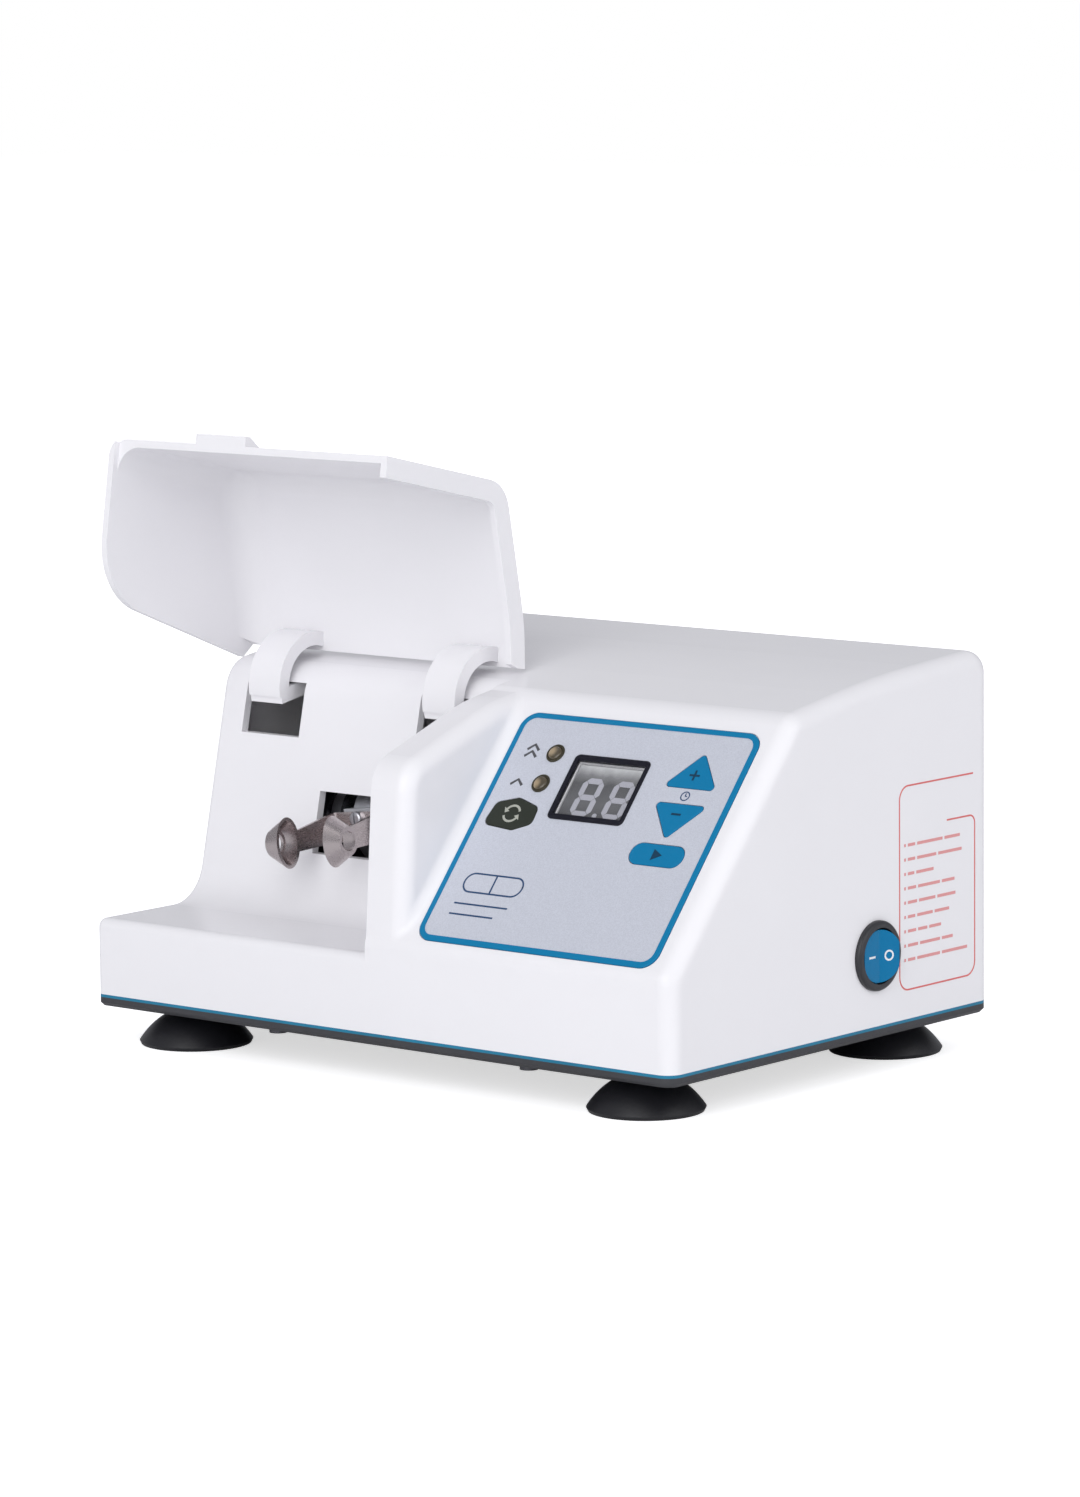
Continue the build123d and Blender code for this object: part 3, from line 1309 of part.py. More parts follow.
with BuildPart() as drive_frame:
    with BuildSketch(level_plane(frame_foot_height)):
        with Locations(((frame_left + frame_right) / 2, (frame_front + frame_back) / 2)):
            RectangleRounded(frame_right - frame_left, frame_back - frame_front, 4.0)
        with Locations(isolator_places):
            Circle(foot_screw_radius, mode=Mode.SUBTRACT)
    extrude(amount=frame_plate_thickness)
    for place in stand_places:
        with BuildSketch(side_plane(place)):
            with Locations((hub_y, hub_z)):
                Circle(stand_radius)
            with Locations((hub_y, plate_top)):
                Rectangle(2 * (hub_y - frame_front), 2.0)
            make_hull()
            with Locations((hub_y, hub_z)):
                Circle(shaft_bearing_radius, mode=Mode.SUBTRACT)
        extrude(amount=stand_thickness)
    with BuildSketch(side_plane(motor_flange_place)):
        with Locations((hub_y, hub_z)):
            Circle(motor_radius)
        with Locations(((frame_front + frame_back) / 2, plate_top)):
            Rectangle(frame_back - frame_front, 2.0)
        make_hull()
        with Locations((hub_y, hub_z)):
            Circle(2 * motor_shaft_radius, mode=Mode.SUBTRACT)
            with PolarLocations(motor_radius * 0.7, 4, start_angle=45):
                Circle(1.6, mode=Mode.SUBTRACT)
    extrude(amount=motor_flange_thickness)
drive_frame.part.label = "drive_frame"
export_step(drive_frame.part, "parts/drive_frame.step")

with BuildPart() as motor_can:
    with BuildSketch(shaft_plane(motor_face + motor_flange_thickness)):
        Circle(motor_radius)
    extrude(amount=motor_length - motor_flange_thickness)
    fillet(motor_can.faces().sort_by(Axis.X)[-1].edges(), motor_edge_radius)
    with BuildSketch(shaft_plane(motor_face + motor_flange_thickness)):
        Circle(motor_radius - motor_wall)
    extrude(amount=motor_length - motor_flange_thickness - motor_wall, mode=Mode.SUBTRACT)
    with BuildSketch(shaft_plane(motor_face)):
        Circle(1.2 * motor_shaft_radius)
    extrude(amount=2 * motor_length, mode=Mode.SUBTRACT)
motor_can.part.label = "motor_can"
export_step(motor_can.part, "parts/motor_can.step")

with BuildPart() as motor_end_plate:
    with BuildSketch(shaft_plane(motor_face)):
        Circle(motor_radius)
        Circle(motor_shaft_radius + running_gap, mode=Mode.SUBTRACT)
        with PolarLocations(motor_radius * 0.7, 4, start_angle=45):
            Circle(motor_screw_radius, mode=Mode.SUBTRACT)
    extrude(amount=motor_flange_thickness)
motor_end_plate.part.label = "motor_end_plate"
export_step(motor_end_plate.part, "parts/motor_end_plate.step")

with BuildPart() as motor_screws:
    with BuildSketch(shaft_plane(motor_flange_place - motor_screw_head_height)):
        with PolarLocations(motor_radius * 0.7, 4, start_angle=45):
            Circle(motor_screw_head_radius)
    extrude(amount=motor_screw_head_height)
    with BuildSketch(shaft_plane(motor_flange_place)):
        with PolarLocations(motor_radius * 0.7, 4, start_angle=45):
            Circle(motor_screw_radius)
    extrude(amount=2 * motor_flange_thickness - 0.5)
motor_screws.part.label = "motor_screws"
export_step(motor_screws.part, "parts/motor_screws.step")

with BuildPart() as isolators:
    with BuildSketch(level_plane(-seal_thickness)):
        with Locations(isolator_places):
            Circle(isolator_radius)
            Circle(foot_screw_radius, mode=Mode.SUBTRACT)
    extrude(amount=frame_foot_height + seal_thickness)
isolators.part.label = "isolators"
export_step(isolators.part, "parts/isolators.step")

with BuildPart() as frame_bolts:
    with BuildSketch(level_plane(plate_top)):
        with Locations(isolator_places):
            RegularPolygon(3.8, 6)
    extrude(amount=2.8)
    with BuildSketch(level_plane(-seal_thickness)):
        with Locations(isolator_places):
            Circle(foot_screw_radius)
    extrude(amount=plate_top + seal_thickness)
frame_bolts.part.label = "frame_bolts"
export_step(frame_bolts.part, "parts/frame_bolts.step")

# Springs and the pillar that anchors them.
spring_y = hub_y + lug_reach - spring_radius
spring_length = spring_turns * spring_pitch
spring_hook = spring_hook_length + lug_size[1] / 2 + fit_gap
pillar_y = spring_y + post_back
hook_heights = (hub_z + spring_hook + spring_length + spring_hook_length,
                hub_z - spring_hook - spring_length - spring_hook_length)

for spring_name, upward in (("upper_spring", 1), ("lower_spring", -1)):
    coil_foot = hub_z + spring_hook if upward > 0 else hub_z - spring_hook - spring_length
    with BuildPart() as spring:
        with BuildLine():
            coil = Helix(pitch=spring_pitch, height=spring_length, radius=spring_radius,
                         center=at(hub_x, spring_y, coil_foot))
        with BuildSketch(Plane(origin=coil @ 0, z_dir=coil % 0)):
            RegularPolygon(spring_wire_radius, 8)
        sweep()
        # Straight hooks at both ends.
        for hook_foot in (coil_foot - spring_hook_length, coil_foot + spring_length):
            with BuildSketch(Plane(origin=at(hub_x + spring_radius, spring_y, hook_foot))):
                Circle(spring_wire_radius)
            extrude(amount=spring_hook_length)
    spring.part.label = spring_name
    export_step(spring.part, f"parts/{spring_name}.step")

with BuildPart() as spring_pillar:
    with BuildSketch(level_plane(plate_top)):
        with Locations((hub_x, pillar_y)):
            Rectangle(*pillar_size)
    extrude(amount=hook_heights[0] + pillar_head - plate_top)
    with BuildSketch(level_plane(plate_top)):
        with Locations((hub_x, pillar_y)):
            Rectangle(*pillar_foot_size[:2])
    extrude(amount=pillar_foot_size[2])
    with BuildSketch(front_plane(pillar_y)):
        with Locations([(hub_x, hook_heights[0] + post_radius), (hub_x, hook_heights[1] - post_radius)]):
            Circle(post_radius)
    extrude(amount=pillar_y - spring_y + post_radius)
spring_pillar.part.label = "spring_pillar"
export_step(spring_pillar.part, "parts/spring_pillar.step")

# ------------------------------------------------------------------ power supply
power_x, power_y = power_board_place

with BuildPart() as power_board:
    with BuildSketch(level_plane(power_board_lift)):
        with Locations((power_x + power_board_size[0] / 2, power_y + power_board_size[1] / 2)):
            Rectangle(power_board_size[0], power_board_size[1])
    extrude(amount=power_board_size[2])
    with BuildSketch(level_plane(power_board_lift + power_board_size[2])):
        with Locations((power_x + power_board_size[0] - capacitor_inset[0],
                        power_y + power_board_size[1] - capacitor_inset[1])):
            Circle(capacitor_radius)
    extrude(amount=capacitor_height)
power_board.part.label = "power_board"
export_step(power_board.part, "parts/power_board.step")

with BuildPart() as board_feet:
    with BuildSketch(level_plane(-seal_thickness)):
        with Locations([(power_x + x, power_y + y) for x in (4, power_board_size[0] - 4)
                        for y in (4, power_board_size[1] - 4)]):
            Circle(spacer_radius)
    extrude(amount=power_board_lift + seal_thickness)
board_feet.part.label = "board_feet"
export_step(board_feet.part, "parts/board_feet.step")

with BuildPart() as transformer:
    transformer_foot = power_board_lift + power_board_size[2]
    transformer_centre = (power_x + transformer_offset[0], power_y + transformer_offset[1])
    with BuildSketch(level_plane(transformer_foot)):
        with Locations(transformer_centre):
            Rectangle(transformer_size[0], transformer_size[1])
    extrude(amount=transformer_size[2])
    chamfer(transformer.edges().filter_by(Axis.Z), 1.0)
transformer.part.label = "transformer"
export_step(transformer.part, "parts/transformer.step")
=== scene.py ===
"""Bench mixer for dental capsules: its finishes and printed marks, a camera and lamps."""
import json
import math

import bmesh
import bpy
from mathutils import Matrix, Vector


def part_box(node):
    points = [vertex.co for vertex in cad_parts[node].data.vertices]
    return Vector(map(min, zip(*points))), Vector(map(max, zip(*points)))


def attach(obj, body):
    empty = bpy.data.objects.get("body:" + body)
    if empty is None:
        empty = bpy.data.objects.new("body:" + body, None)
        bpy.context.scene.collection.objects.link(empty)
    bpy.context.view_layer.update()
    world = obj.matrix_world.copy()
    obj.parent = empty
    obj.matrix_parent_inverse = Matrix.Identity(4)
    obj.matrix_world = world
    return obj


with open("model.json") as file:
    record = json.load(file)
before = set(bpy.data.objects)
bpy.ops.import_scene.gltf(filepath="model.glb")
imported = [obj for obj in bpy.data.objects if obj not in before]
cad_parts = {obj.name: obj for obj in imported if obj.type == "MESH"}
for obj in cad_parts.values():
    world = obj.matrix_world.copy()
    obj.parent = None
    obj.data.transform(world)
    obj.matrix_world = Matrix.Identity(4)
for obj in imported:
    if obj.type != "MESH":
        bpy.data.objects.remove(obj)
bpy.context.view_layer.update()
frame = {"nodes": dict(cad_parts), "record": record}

# ------------------------------------------------------------------ the object's own places
# Drawings on its faces are in millimetres, the scene is in metres.
MM = 0.001
CORNER = Vector((-0.123207, -0.09125, 0.0165))   # front left corner of the housing's lower edge
HOUSING_WIDTH = 245.0 * MM
SLOPE_FOOT = 30.3 * MM                           # the control face starts this far above the corner
SLOPE_ANGLE = math.radians(49.3)

# Levels above the sloped control face, in millimetres.
KEY_LEVEL = 0.4
OVERLAY_LEVEL = 0.2
DIGIT_LEVEL = -1.1
LENS_LEVEL = 0.5
PRINT = 0.06                                     # thickness of a printed mark

# Matrices that carry a drawing to its face: across, up, and out of the face.
ONTO_SIDE = Matrix(((0, 0, 1, 0), (1, 0, 0, 0), (0, 1, 0, 0), (0, 0, 0, 1)))
CONTROL_FACE = (Matrix.Translation(CORNER + Vector((0, 0, SLOPE_FOOT)))
                @ Matrix.Rotation(SLOPE_ANGLE, 4, "X") @ Matrix.Scale(MM, 4))
RIGHT_FACE = (Matrix.Translation(CORNER + Vector((HOUSING_WIDTH, 0, 0)))
              @ ONTO_SIDE @ Matrix.Scale(MM, 4))

# ------------------------------------------------------------------ camera and lamps
CAMERA_PLACE = CORNER + Vector((1.36374, -1.40360, 0.34912))
CAMERA_YAW = math.radians(39.815)
CAMERA_FALL = math.radians(7.817)                # below the horizon
CAMERA_ROLL = math.radians(-0.590)
FOCAL_LENGTH = 142.27                            # millimetres
SENSOR_WIDTH = 36.0
LAMP_AIM = Vector((0, 0, 0.08))


def add_holder(name, data, matrix):
    holder = bpy.data.objects.new(name, data)
    holder.matrix_world = matrix
    bpy.context.collection.objects.link(holder)
    return holder


def add_camera():
    camera = bpy.data.cameras.new("camera")
    camera.lens = FOCAL_LENGTH
    camera.sensor_width = SENSOR_WIDTH
    turn = (Matrix.Rotation(CAMERA_YAW, 4, "Z")
            @ Matrix.Rotation(math.radians(90) - CAMERA_FALL, 4, "X")
            @ Matrix.Rotation(CAMERA_ROLL, 4, "Z"))
    bpy.context.scene.camera = add_holder("camera", camera, Matrix.Translation(CAMERA_PLACE) @ turn)


def add_lamp(name, place, size, power, mirrored=True):
    """Square lamp aimed at the object; one that isn't mirrored shows in no reflection."""
    lamp = bpy.data.lights.new(name, "AREA")
    lamp.size = size
    lamp.energy = power
    turn = (LAMP_AIM - Vector(place)).to_track_quat("-Z", "Y").to_matrix().to_4x4()
    add_holder(name, lamp, Matrix.Translation(place) @ turn).visible_glossy = mirrored


add_camera()
add_lamp("front_lamp", (0.5, -1.75, 1.0), size=1.8, power=23.5)
add_lamp("right_lamp", (1.85, 0.15, 0.85), size=1.6, power=11.0)
add_lamp("back_lamp", (-1.5, 1.5, 0.8), size=1.8, power=9.0, mirrored=False)


# ------------------------------------------------------------------ shaders
class Wire:
    """A shader socket whose sums add Math nodes."""

    def __init__(self, shader, socket):
        self.shader = shader
        self.socket = socket

    def maths(self, operation, other):
        return self.shader.node("ShaderNodeMath", {"operation": operation}, {0: self, 1: other})

    def __add__(self, other):
        return self.maths("ADD", other)

    def __sub__(self, other):
        return self.maths("SUBTRACT", other)

    def __mul__(self, other):
        return self.maths("MULTIPLY", other)


class Shader:
    """The node tree of a material or world, put together node by node."""

    def __init__(self, owner):
        owner.use_nodes = True
        self.tree = owner.node_tree
        self.tree.nodes.clear()

    def node(self, kind, settings=None, sockets=None, output=0):
        """Adds a node; a socket given a wire is linked to it, any other is set to its value."""
        made = self.tree.nodes.new(kind)
        for name, value in (settings or {}).items():
            setattr(made, name, value)
        for key, value in (sockets or {}).items():
            if isinstance(value, Wire):
                self.tree.links.new(value.socket, made.inputs[key])
            else:
                made.inputs[key].default_value = value
        return Wire(self, made.outputs[output])

    def mix_shaders(self, mask, low, high):
        return self.node("ShaderNodeMixShader", None, {0: mask, 1: low, 2: high})

    def end(self, kind, shader):
        """Joins a shader to the tree's output."""
        output = self.tree.nodes.new(kind)
        self.tree.links.new(shader.socket, output.inputs[0])


class Finish(Shader):
    """A material whose patterns follow places on the object, in metres."""

    def __init__(self, name):
        self.material = bpy.data.materials.new(name)
        super().__init__(self.material)
        self.place = self.node("ShaderNodeTexCoord", output="Object")

    def noise(self, scale, detail=2.0, stretch=(1, 1, 1)):
        """Noise about 0 to 1, finer along an axis with a larger stretch."""
        drawn = self.node("ShaderNodeMapping", None, {"Vector": self.place, "Scale": stretch})
        return self.node("ShaderNodeTexNoise", None,
                         {"Vector": drawn, "Scale": scale, "Detail": detail})

    def cells(self, scale, output="Distance"):
        """Cells around scattered points: the distance to the nearest one, or its colour."""
        return self.node("ShaderNodeTexVoronoi", None,
                         {"Vector": self.place, "Scale": scale}, output)

    def height(self):
        return self.node("ShaderNodeSeparateXYZ", None, {0: self.place}, output="Z")

    def red(self, colour):
        """Turns a colour into a number by its red part."""
        return self.node("ShaderNodeSeparateColor", None, {0: colour})

    def between(self, mask, low, high):
        """Colour between two, by a mask from 0 to 1."""
        return self.node("ShaderNodeMix", {"data_type": "RGBA"}, {0: mask, 6: low, 7: high},
                         output=2)

    def fade(self, mask, low, high):
        """Number between two, by a mask from 0 to 1, kept inside them."""
        return self.node("ShaderNodeMapRange", None, {0: mask, 3: low, 4: high})

    def ramp(self, value, stops):
        """Colour by a value, through stops of a position and a colour each."""
        wire = self.node("ShaderNodeValToRGB", None, {0: value})
        elements = wire.socket.node.color_ramp.elements
        while len(elements) < len(stops):
            elements.new(1.0)
        for element, (position, colour) in zip(elements, stops):
            element.position = position
            element.color = colour
        return wire

    def bump(self, height, depth):
        return self.node("ShaderNodeBump", None,
                         {"Height": height, "Strength": 1.0, "Distance": depth})

    def surface(self, sockets):
        """Ends the material in one Principled shader."""
        self.end("ShaderNodeOutputMaterial", self.node("ShaderNodeBsdfPrincipled", None, sockets))
        return self.material


def shade(colour, factor=1.0):
    """Colour with its alpha, made lighter or darker."""
    return tuple(min(1.0, part * factor) for part in colour) + (1.0,)


def grey(value, blue=0.0):
    """Grey with its alpha, a little bluer if asked."""
    return (value, value, value + blue, 1.0)


# ------------------------------------------------------------------ finishes
def moulded(name, colour, roughness):
    """Injection-moulded plastic: faint flow marks in colour and gloss, and a slight orange peel."""
    f = Finish(name)
    flow = f.noise(scale=14.0, detail=3.0)
    dust = f.noise(scale=900.0, detail=3.0)
    tint = f.between(flow, shade(colour, 0.97), shade(colour, 1.02))
    peel = f.noise(scale=330.0) + dust * 0.15
    return f.surface({"Base Color": f.between(dust * 0.04, tint, shade(colour, 0.8)),
                      "Roughness": f.fade(flow * 0.6 + dust * 0.4,
                                          roughness * 0.8, roughness * 1.25),
                      "Normal": f.bump(peel, 1.5e-6), "IOR": 1.5, "Specular IOR Level": 0.22})


def grained(name, colour, roughness, scale, depth):
    """Plastic or rubber with a fine grain, and the near-black painted shade of the drive frame."""
    f = Finish(name)
    patch = f.noise(scale=60.0, detail=3.0)
    return f.surface({"Base Color": f.between(patch, shade(colour, 0.8), shade(colour, 1.3)),
                      "Roughness": f.fade(patch, roughness * 0.85, roughness * 1.15),
                      "Normal": f.bump(f.cells(scale), depth)})


def worked_metal(name, colour, roughness, stretch=(1, 1, 1), scale=700.0, depth=2.0e-6, stain=0.0):
    """Metal with fine marks drawn out one way and a little tarnish."""
    f = Finish(name)
    marks = f.noise(scale, detail=4.0, stretch=stretch)
    patch = f.noise(scale=90.0, detail=4.0)
    bright = f.between(marks, shade(colour, 0.82), shade(colour, 1.12))
    return f.surface({"Base Color": f.between(patch * stain, bright, shade(colour, 0.45)),
                      "Roughness": f.fade(marks * 0.5 + patch * 0.5,
                                          roughness * 0.7, roughness * 1.35),
                      "Metallic": 1.0, "Normal": f.bump(marks, depth)})


def printed(name, colour, roughness=0.42):
    """Screen-printed ink: even colour with a fine fibre in it."""
    f = Finish(name)
    fibre = f.noise(scale=2500.0)
    return f.surface({"Base Color": f.between(fibre, shade(colour, 0.92), shade(colour, 1.08)),
                      "Roughness": f.fade(fibre, roughness * 0.9, roughness * 1.1),
                      "Normal": f.bump(fibre, 1.0e-6), "Specular IOR Level": 0.2})


def metallic_film():
    """Silver film of the control panel: tiny flakes under a satin coat."""
    f = Finish("metallic_film")
    flakes = f.red(f.cells(3500.0, output="Color"))
    tint = f.between(flakes, (0.54, 0.56, 0.63, 1), (0.62, 0.645, 0.72, 1))
    return f.surface({"Base Color": tint, "Roughness": f.fade(flakes, 0.36, 0.46),
                      "Metallic": 0.1, "Normal": f.bump(f.noise(scale=2200.0), 1.2e-6)})


def smoked_pane():
    """Tinted window over the digits, clear enough to read through."""
    f = Finish("smoked_pane")
    haze = f.noise(scale=500.0)
    tint = f.between(haze, (0.10, 0.11, 0.12, 1), (0.14, 0.15, 0.16, 1))
    return f.surface({"Base Color": tint, "Roughness": f.fade(haze, 0.04, 0.09),
                      "Alpha": 0.10, "IOR": 1.5})


def display_back():
    """Grey face behind the digits, in soft bands by height, lightening to near white along its
    head.
    """
    f = Finish("display_back")
    foot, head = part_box("display_pane")
    rise = (f.height() - foot[2]) * (1 / (head[2] - foot[2]))
    haze = f.noise(scale=260.0, detail=3.0)
    tint = f.ramp(rise + haze * 0.12, [(0.0, grey(0.10, 0.005)), (0.3, grey(0.17, 0.01)),
                                       (0.66, grey(0.12, 0.005)), (0.80, grey(0.30, 0.01)),
                                       (0.95, (0.78, 0.79, 0.80, 1))])
    return f.surface({"Base Color": tint, "Roughness": f.fade(haze, 0.3, 0.4)})


def lamp_lens(highlight_colour, ring_shade_colour, centres, radius):
    """Domed amber lenses of two lamps, pale at their hearts and dark where they meet their rings: a
    painted highlight and painted shade on the dome.
    """
    f = Finish("lamp_lens")
    away = [f.node("ShaderNodeVectorMath", {"operation": "DISTANCE"}, {0: f.place, 1: centre},
                   output="Value") for centre in centres]
    nearest = away[0].maths("MINIMUM", away[1])
    grain = f.noise(scale=1500.0)
    # Painted highlight at each lens's heart, fading to painted shade where it meets its ring.
    mask = f.node("ShaderNodeMapRange", {"interpolation_type": "SMOOTHSTEP"},
                  {0: nearest + grain * (radius * 0.15), 1: radius * 0.35, 2: radius * 1.1})
    return f.surface({"Base Color": f.between(mask, shade(highlight_colour), shade(ring_shade_colour)),
                      "Roughness": f.fade(grain, 0.14, 0.24),
                      "Coat Weight": 0.4, "Coat Roughness": 0.06})


def circuit_board():
    """Green lacquer over copper tracks."""
    f = Finish("circuit_board")
    tracks = f.red(f.node("ShaderNodeTexBrick", None,
                          {"Vector": f.place, "Scale": 120.0, "Mortar Size": 0.03,
                           "Color1": grey(0.0), "Color2": grey(0.2), "Mortar": grey(1.0)}))
    tint = f.between(tracks, (0.01, 0.13, 0.05, 1), (0.03, 0.22, 0.08, 1))
    return f.surface({"Base Color": tint, "Roughness": f.fade(f.noise(scale=400.0), 0.25, 0.4),
                      "Normal": f.bump(tracks, 8e-6)})


def laminated():
    """Stack of varnished iron sheets."""
    f = Finish("laminated")
    sheets = f.node("ShaderNodeTexWave", {"bands_direction": "X"},
                    {"Vector": f.place, "Scale": 320.0})
    rust = f.noise(scale=120.0, detail=4.0)
    iron = f.between(sheets, grey(0.05, 0.005), grey(0.13, 0.01))
    return f.surface({"Base Color": f.between(rust * 0.3, iron, (0.16, 0.09, 0.05, 1)),
                      "Roughness": f.fade(rust, 0.35, 0.6), "Metallic": 0.6,
                      "Normal": f.bump(sheets, 4e-5)})


LENS_CENTRES = ((157.6, 76.6), (157.4, 64.0))    # across and up the control face
LENS_RADIUS = 2.6

slot_finishes = {
    "white_plastic": moulded("white_plastic", (0.865, 0.857, 0.88), 0.24),
    "bracket_plastic": moulded("bracket_plastic", (0.80, 0.80, 0.83), 0.35),
    "base_grey": grained("base_grey", (0.034, 0.035, 0.040), 0.5, 1800.0, 2.0e-5),
    "seal_blue": grained("seal_blue", (0.0, 0.17, 0.30), 0.45, 2500.0, 6.0e-6),
    "foot_rubber": grained("foot_rubber", (0.009, 0.009, 0.012), 0.42, 1400.0, 2.5e-5),
    "part_black": grained("part_black", (0.022, 0.022, 0.026), 0.4, 2200.0, 1.0e-5),
    "steel_screws": worked_metal("steel_screws", (0.62, 0.62, 0.65), 0.3, stain=0.2),
    "brass_pins": worked_metal("brass_pins", (0.62, 0.36, 0.24), 0.3, (1, 6, 6), stain=0.3),
    "fork_metal": worked_metal("fork_metal", (0.56, 0.50, 0.50), 0.26, (6, 1, 6), stain=0.35),
    "cast_aluminium": worked_metal("cast_aluminium", (0.62, 0.63, 0.66), 0.42,
                                   scale=500.0, depth=1.5e-5, stain=0.1),
    "motor_steel": worked_metal("motor_steel", (0.50, 0.51, 0.55), 0.36, (6, 1, 1), stain=0.15),
    "shaft_steel": worked_metal("shaft_steel", (0.66, 0.66, 0.69), 0.2, (5, 1, 1),
                                scale=900.0, depth=1.0e-6, stain=0.1),
    "core_iron": laminated(),
    "board_green": circuit_board(),
    "overlay_silver": metallic_film(),
    "border_blue": printed("border_blue", (0.0, 0.19, 0.39)),
    "key_blue": printed("key_blue", (0.0, 0.185, 0.385)),
    "key_dark": printed("key_dark", (0.025, 0.030, 0.022)),
    "rocker_blue": printed("rocker_blue", (0.0, 0.17, 0.37), 0.2),
    "display_dark": printed("display_dark", (0.006, 0.006, 0.013)),
    "display_glass": smoked_pane(),
    "lamp_dark": moulded("lamp_dark", (0.045, 0.040, 0.024), 0.35),
    # Amber lenses with a painted highlight at the heart and painted shade towards the ring.
    "lamp_lens": lamp_lens((0.37, 0.28, 0.17), (0.07, 0.055, 0.03),
                           [CONTROL_FACE @ Vector((x, y, LENS_LEVEL)) for x, y in LENS_CENTRES],
                           LENS_RADIUS * MM),
}
dark_screws = worked_metal("dark_screws", (0.10, 0.10, 0.11), 0.4, stain=0.3)
own_finishes = {
    "display_module": display_back(),
    "lid_magnet": slot_finishes["white_plastic"],
    # Painted shade: the drive frame is made near black so that the inside of the window behind the
    # fork reads as shaded.
    "drive_frame": grained("painted_shade_black", (0.020, 0.020, 0.023), 0.35, 900.0, 8.0e-6),
    "foot_screws": dark_screws,
    "housing_screws": dark_screws,
}
inks = {name: printed("ink_" + name, colour) for name, colour in {
    "white": (0.80, 0.82, 0.84),
    "bone": (0.42, 0.43, 0.38),
    "deep": (0.006, 0.045, 0.09),
    "navy": (0.03, 0.07, 0.16),
    "grey": (0.09, 0.09, 0.10),
    "red": (0.70, 0.17, 0.16),
    "rose": (0.74, 0.33, 0.33),
}.items()}
segment_white = printed("segment_white", (0.60, 0.60, 0.67), 0.3)

for row in frame["record"]["subparts"]:
    materials = frame["nodes"][row["node"]].data.materials
    materials.clear()
    materials.append(own_finishes.get(row["node"]) or slot_finishes[row["material_slot"]])


# ------------------------------------------------------------------ printed marks
CROSSING_LIFT = 0.01                             # of a mark laid over another
RING_STEPS = 14                                  # in each half of a ring
CORNER_STEPS = 8                                 # in each rounded corner


def arc_points(centre, radius, start, end, count):
    """Points along an arc, by angles in degrees."""
    angles = [math.radians(start + (end - start) * i / count) for i in range(count + 1)]
    return [(centre[0] + radius * math.cos(angle), centre[1] + radius * math.sin(angle))
            for angle in angles]


def rounded_box(left, bottom, right, top, radius):
    """Points round a box with rounded corners."""
    points = []
    for centre, start in (((right - radius, top - radius), 0),
                          ((left + radius, top - radius), 90),
                          ((left + radius, bottom + radius), 180),
                          ((right - radius, bottom + radius), 270)):
        points += arc_points(centre, radius, start, start + 90, CORNER_STEPS)
    return points


class Print:
    """Ink drawn in millimetres on a flat face, as patches raised a little from it."""

    def __init__(self, face, level=0.0):
        self.shape = bmesh.new()
        self.face = face
        self.level = level

    def patch(self, corners, lift=0.0):
        """Fills an outline; a lift keeps the tops of crossing patches apart."""
        feet = [self.face @ Vector((x, y, self.level + lift)) for x, y in corners]
        outline = self.shape.faces.new([self.shape.verts.new(foot) for foot in feet])
        raised = bmesh.ops.extrude_face_region(self.shape, geom=[outline])
        tops = [part for part in raised["geom"] if isinstance(part, bmesh.types.BMVert)]
        rise = self.face.to_3x3() @ Vector((0, 0, PRINT))
        bmesh.ops.translate(self.shape, verts=tops, vec=rise)

    def line(self, points, width, lift=0.0):
        """Band of even width through the points."""
        left, right = [], []
        for index, point in enumerate(points):
            before = Vector(points[max(index - 1, 0)])
            after = Vector(points[min(index + 1, len(points) - 1)])
            way = (after - before).normalized()
            side = Vector((-way.y, way.x)) * width / 2
            left.append(Vector(point) + side)
            right.append(Vector(point) - side)
        self.patch(left + right[::-1], lift)

    def ring(self, centre, radius, width):
        for start in (0, 180):
            self.line(arc_points(centre, radius, start, start + 180, RING_STEPS), width)

    def put(self, name, body, ink):
        """Makes the drawing an object that moves with a body."""
        bmesh.ops.recalc_face_normals(self.shape, faces=self.shape.faces)
        mesh = bpy.data.meshes.new(name)
        self.shape.to_mesh(mesh)
        self.shape.free()
        mesh.materials.append(ink)
        made = bpy.data.objects.new(name, mesh)
        bpy.context.collection.objects.link(made)
        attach(made, body)


# Two seven-segment digits with all their bars lit, and the point between them.
SEGMENT = 2.1                                    # width of a bar
DIGIT_WIDTH, DIGIT_HEIGHT = 8.6, 14.6
DIGIT_FEET = ((174.2, 54.7), (187.0, 54.7))
DIGIT_LEAN = 0.02                                # across per height
BAR_GAP = 0.1
POINT_CENTRE, POINT_RADIUS = (184.9, 55.6), 0.9
POINT_CORNERS = 12


def add_digit(drawing, foot):
    half = SEGMENT / 2
    near, far = SEGMENT + BAR_GAP, DIGIT_WIDTH - SEGMENT - BAR_GAP
    bars = []
    for level in (half, DIGIT_HEIGHT / 2, DIGIT_HEIGHT - half):
        bars.append([(half + BAR_GAP, level), (near, level + half), (far, level + half),
                     (DIGIT_WIDTH - half - BAR_GAP, level), (far, level - half),
                     (near, level - half)])
    for side in (half, DIGIT_WIDTH - half):
        for low, high in ((half + BAR_GAP, DIGIT_HEIGHT / 2 - BAR_GAP),
                          (DIGIT_HEIGHT / 2 + BAR_GAP, DIGIT_HEIGHT - half - BAR_GAP)):
            bars.append([(side, low), (side + half, low + half), (side + half, high - half),
                         (side, high), (side - half, high - half), (side - half, low + half)])
    for bar in bars:
        drawing.patch([(foot[0] + x + y * DIGIT_LEAN, foot[1] + y) for x, y in bar])


digits = Print(CONTROL_FACE, DIGIT_LEVEL)
for digit_foot in DIGIT_FEET:
    add_digit(digits, digit_foot)
digits.patch(arc_points(POINT_CENTRE, POINT_RADIUS, 0, 360 - 360 / POINT_CORNERS,
                        POINT_CORNERS - 1))
digits.put("display_digits", "root", segment_white)

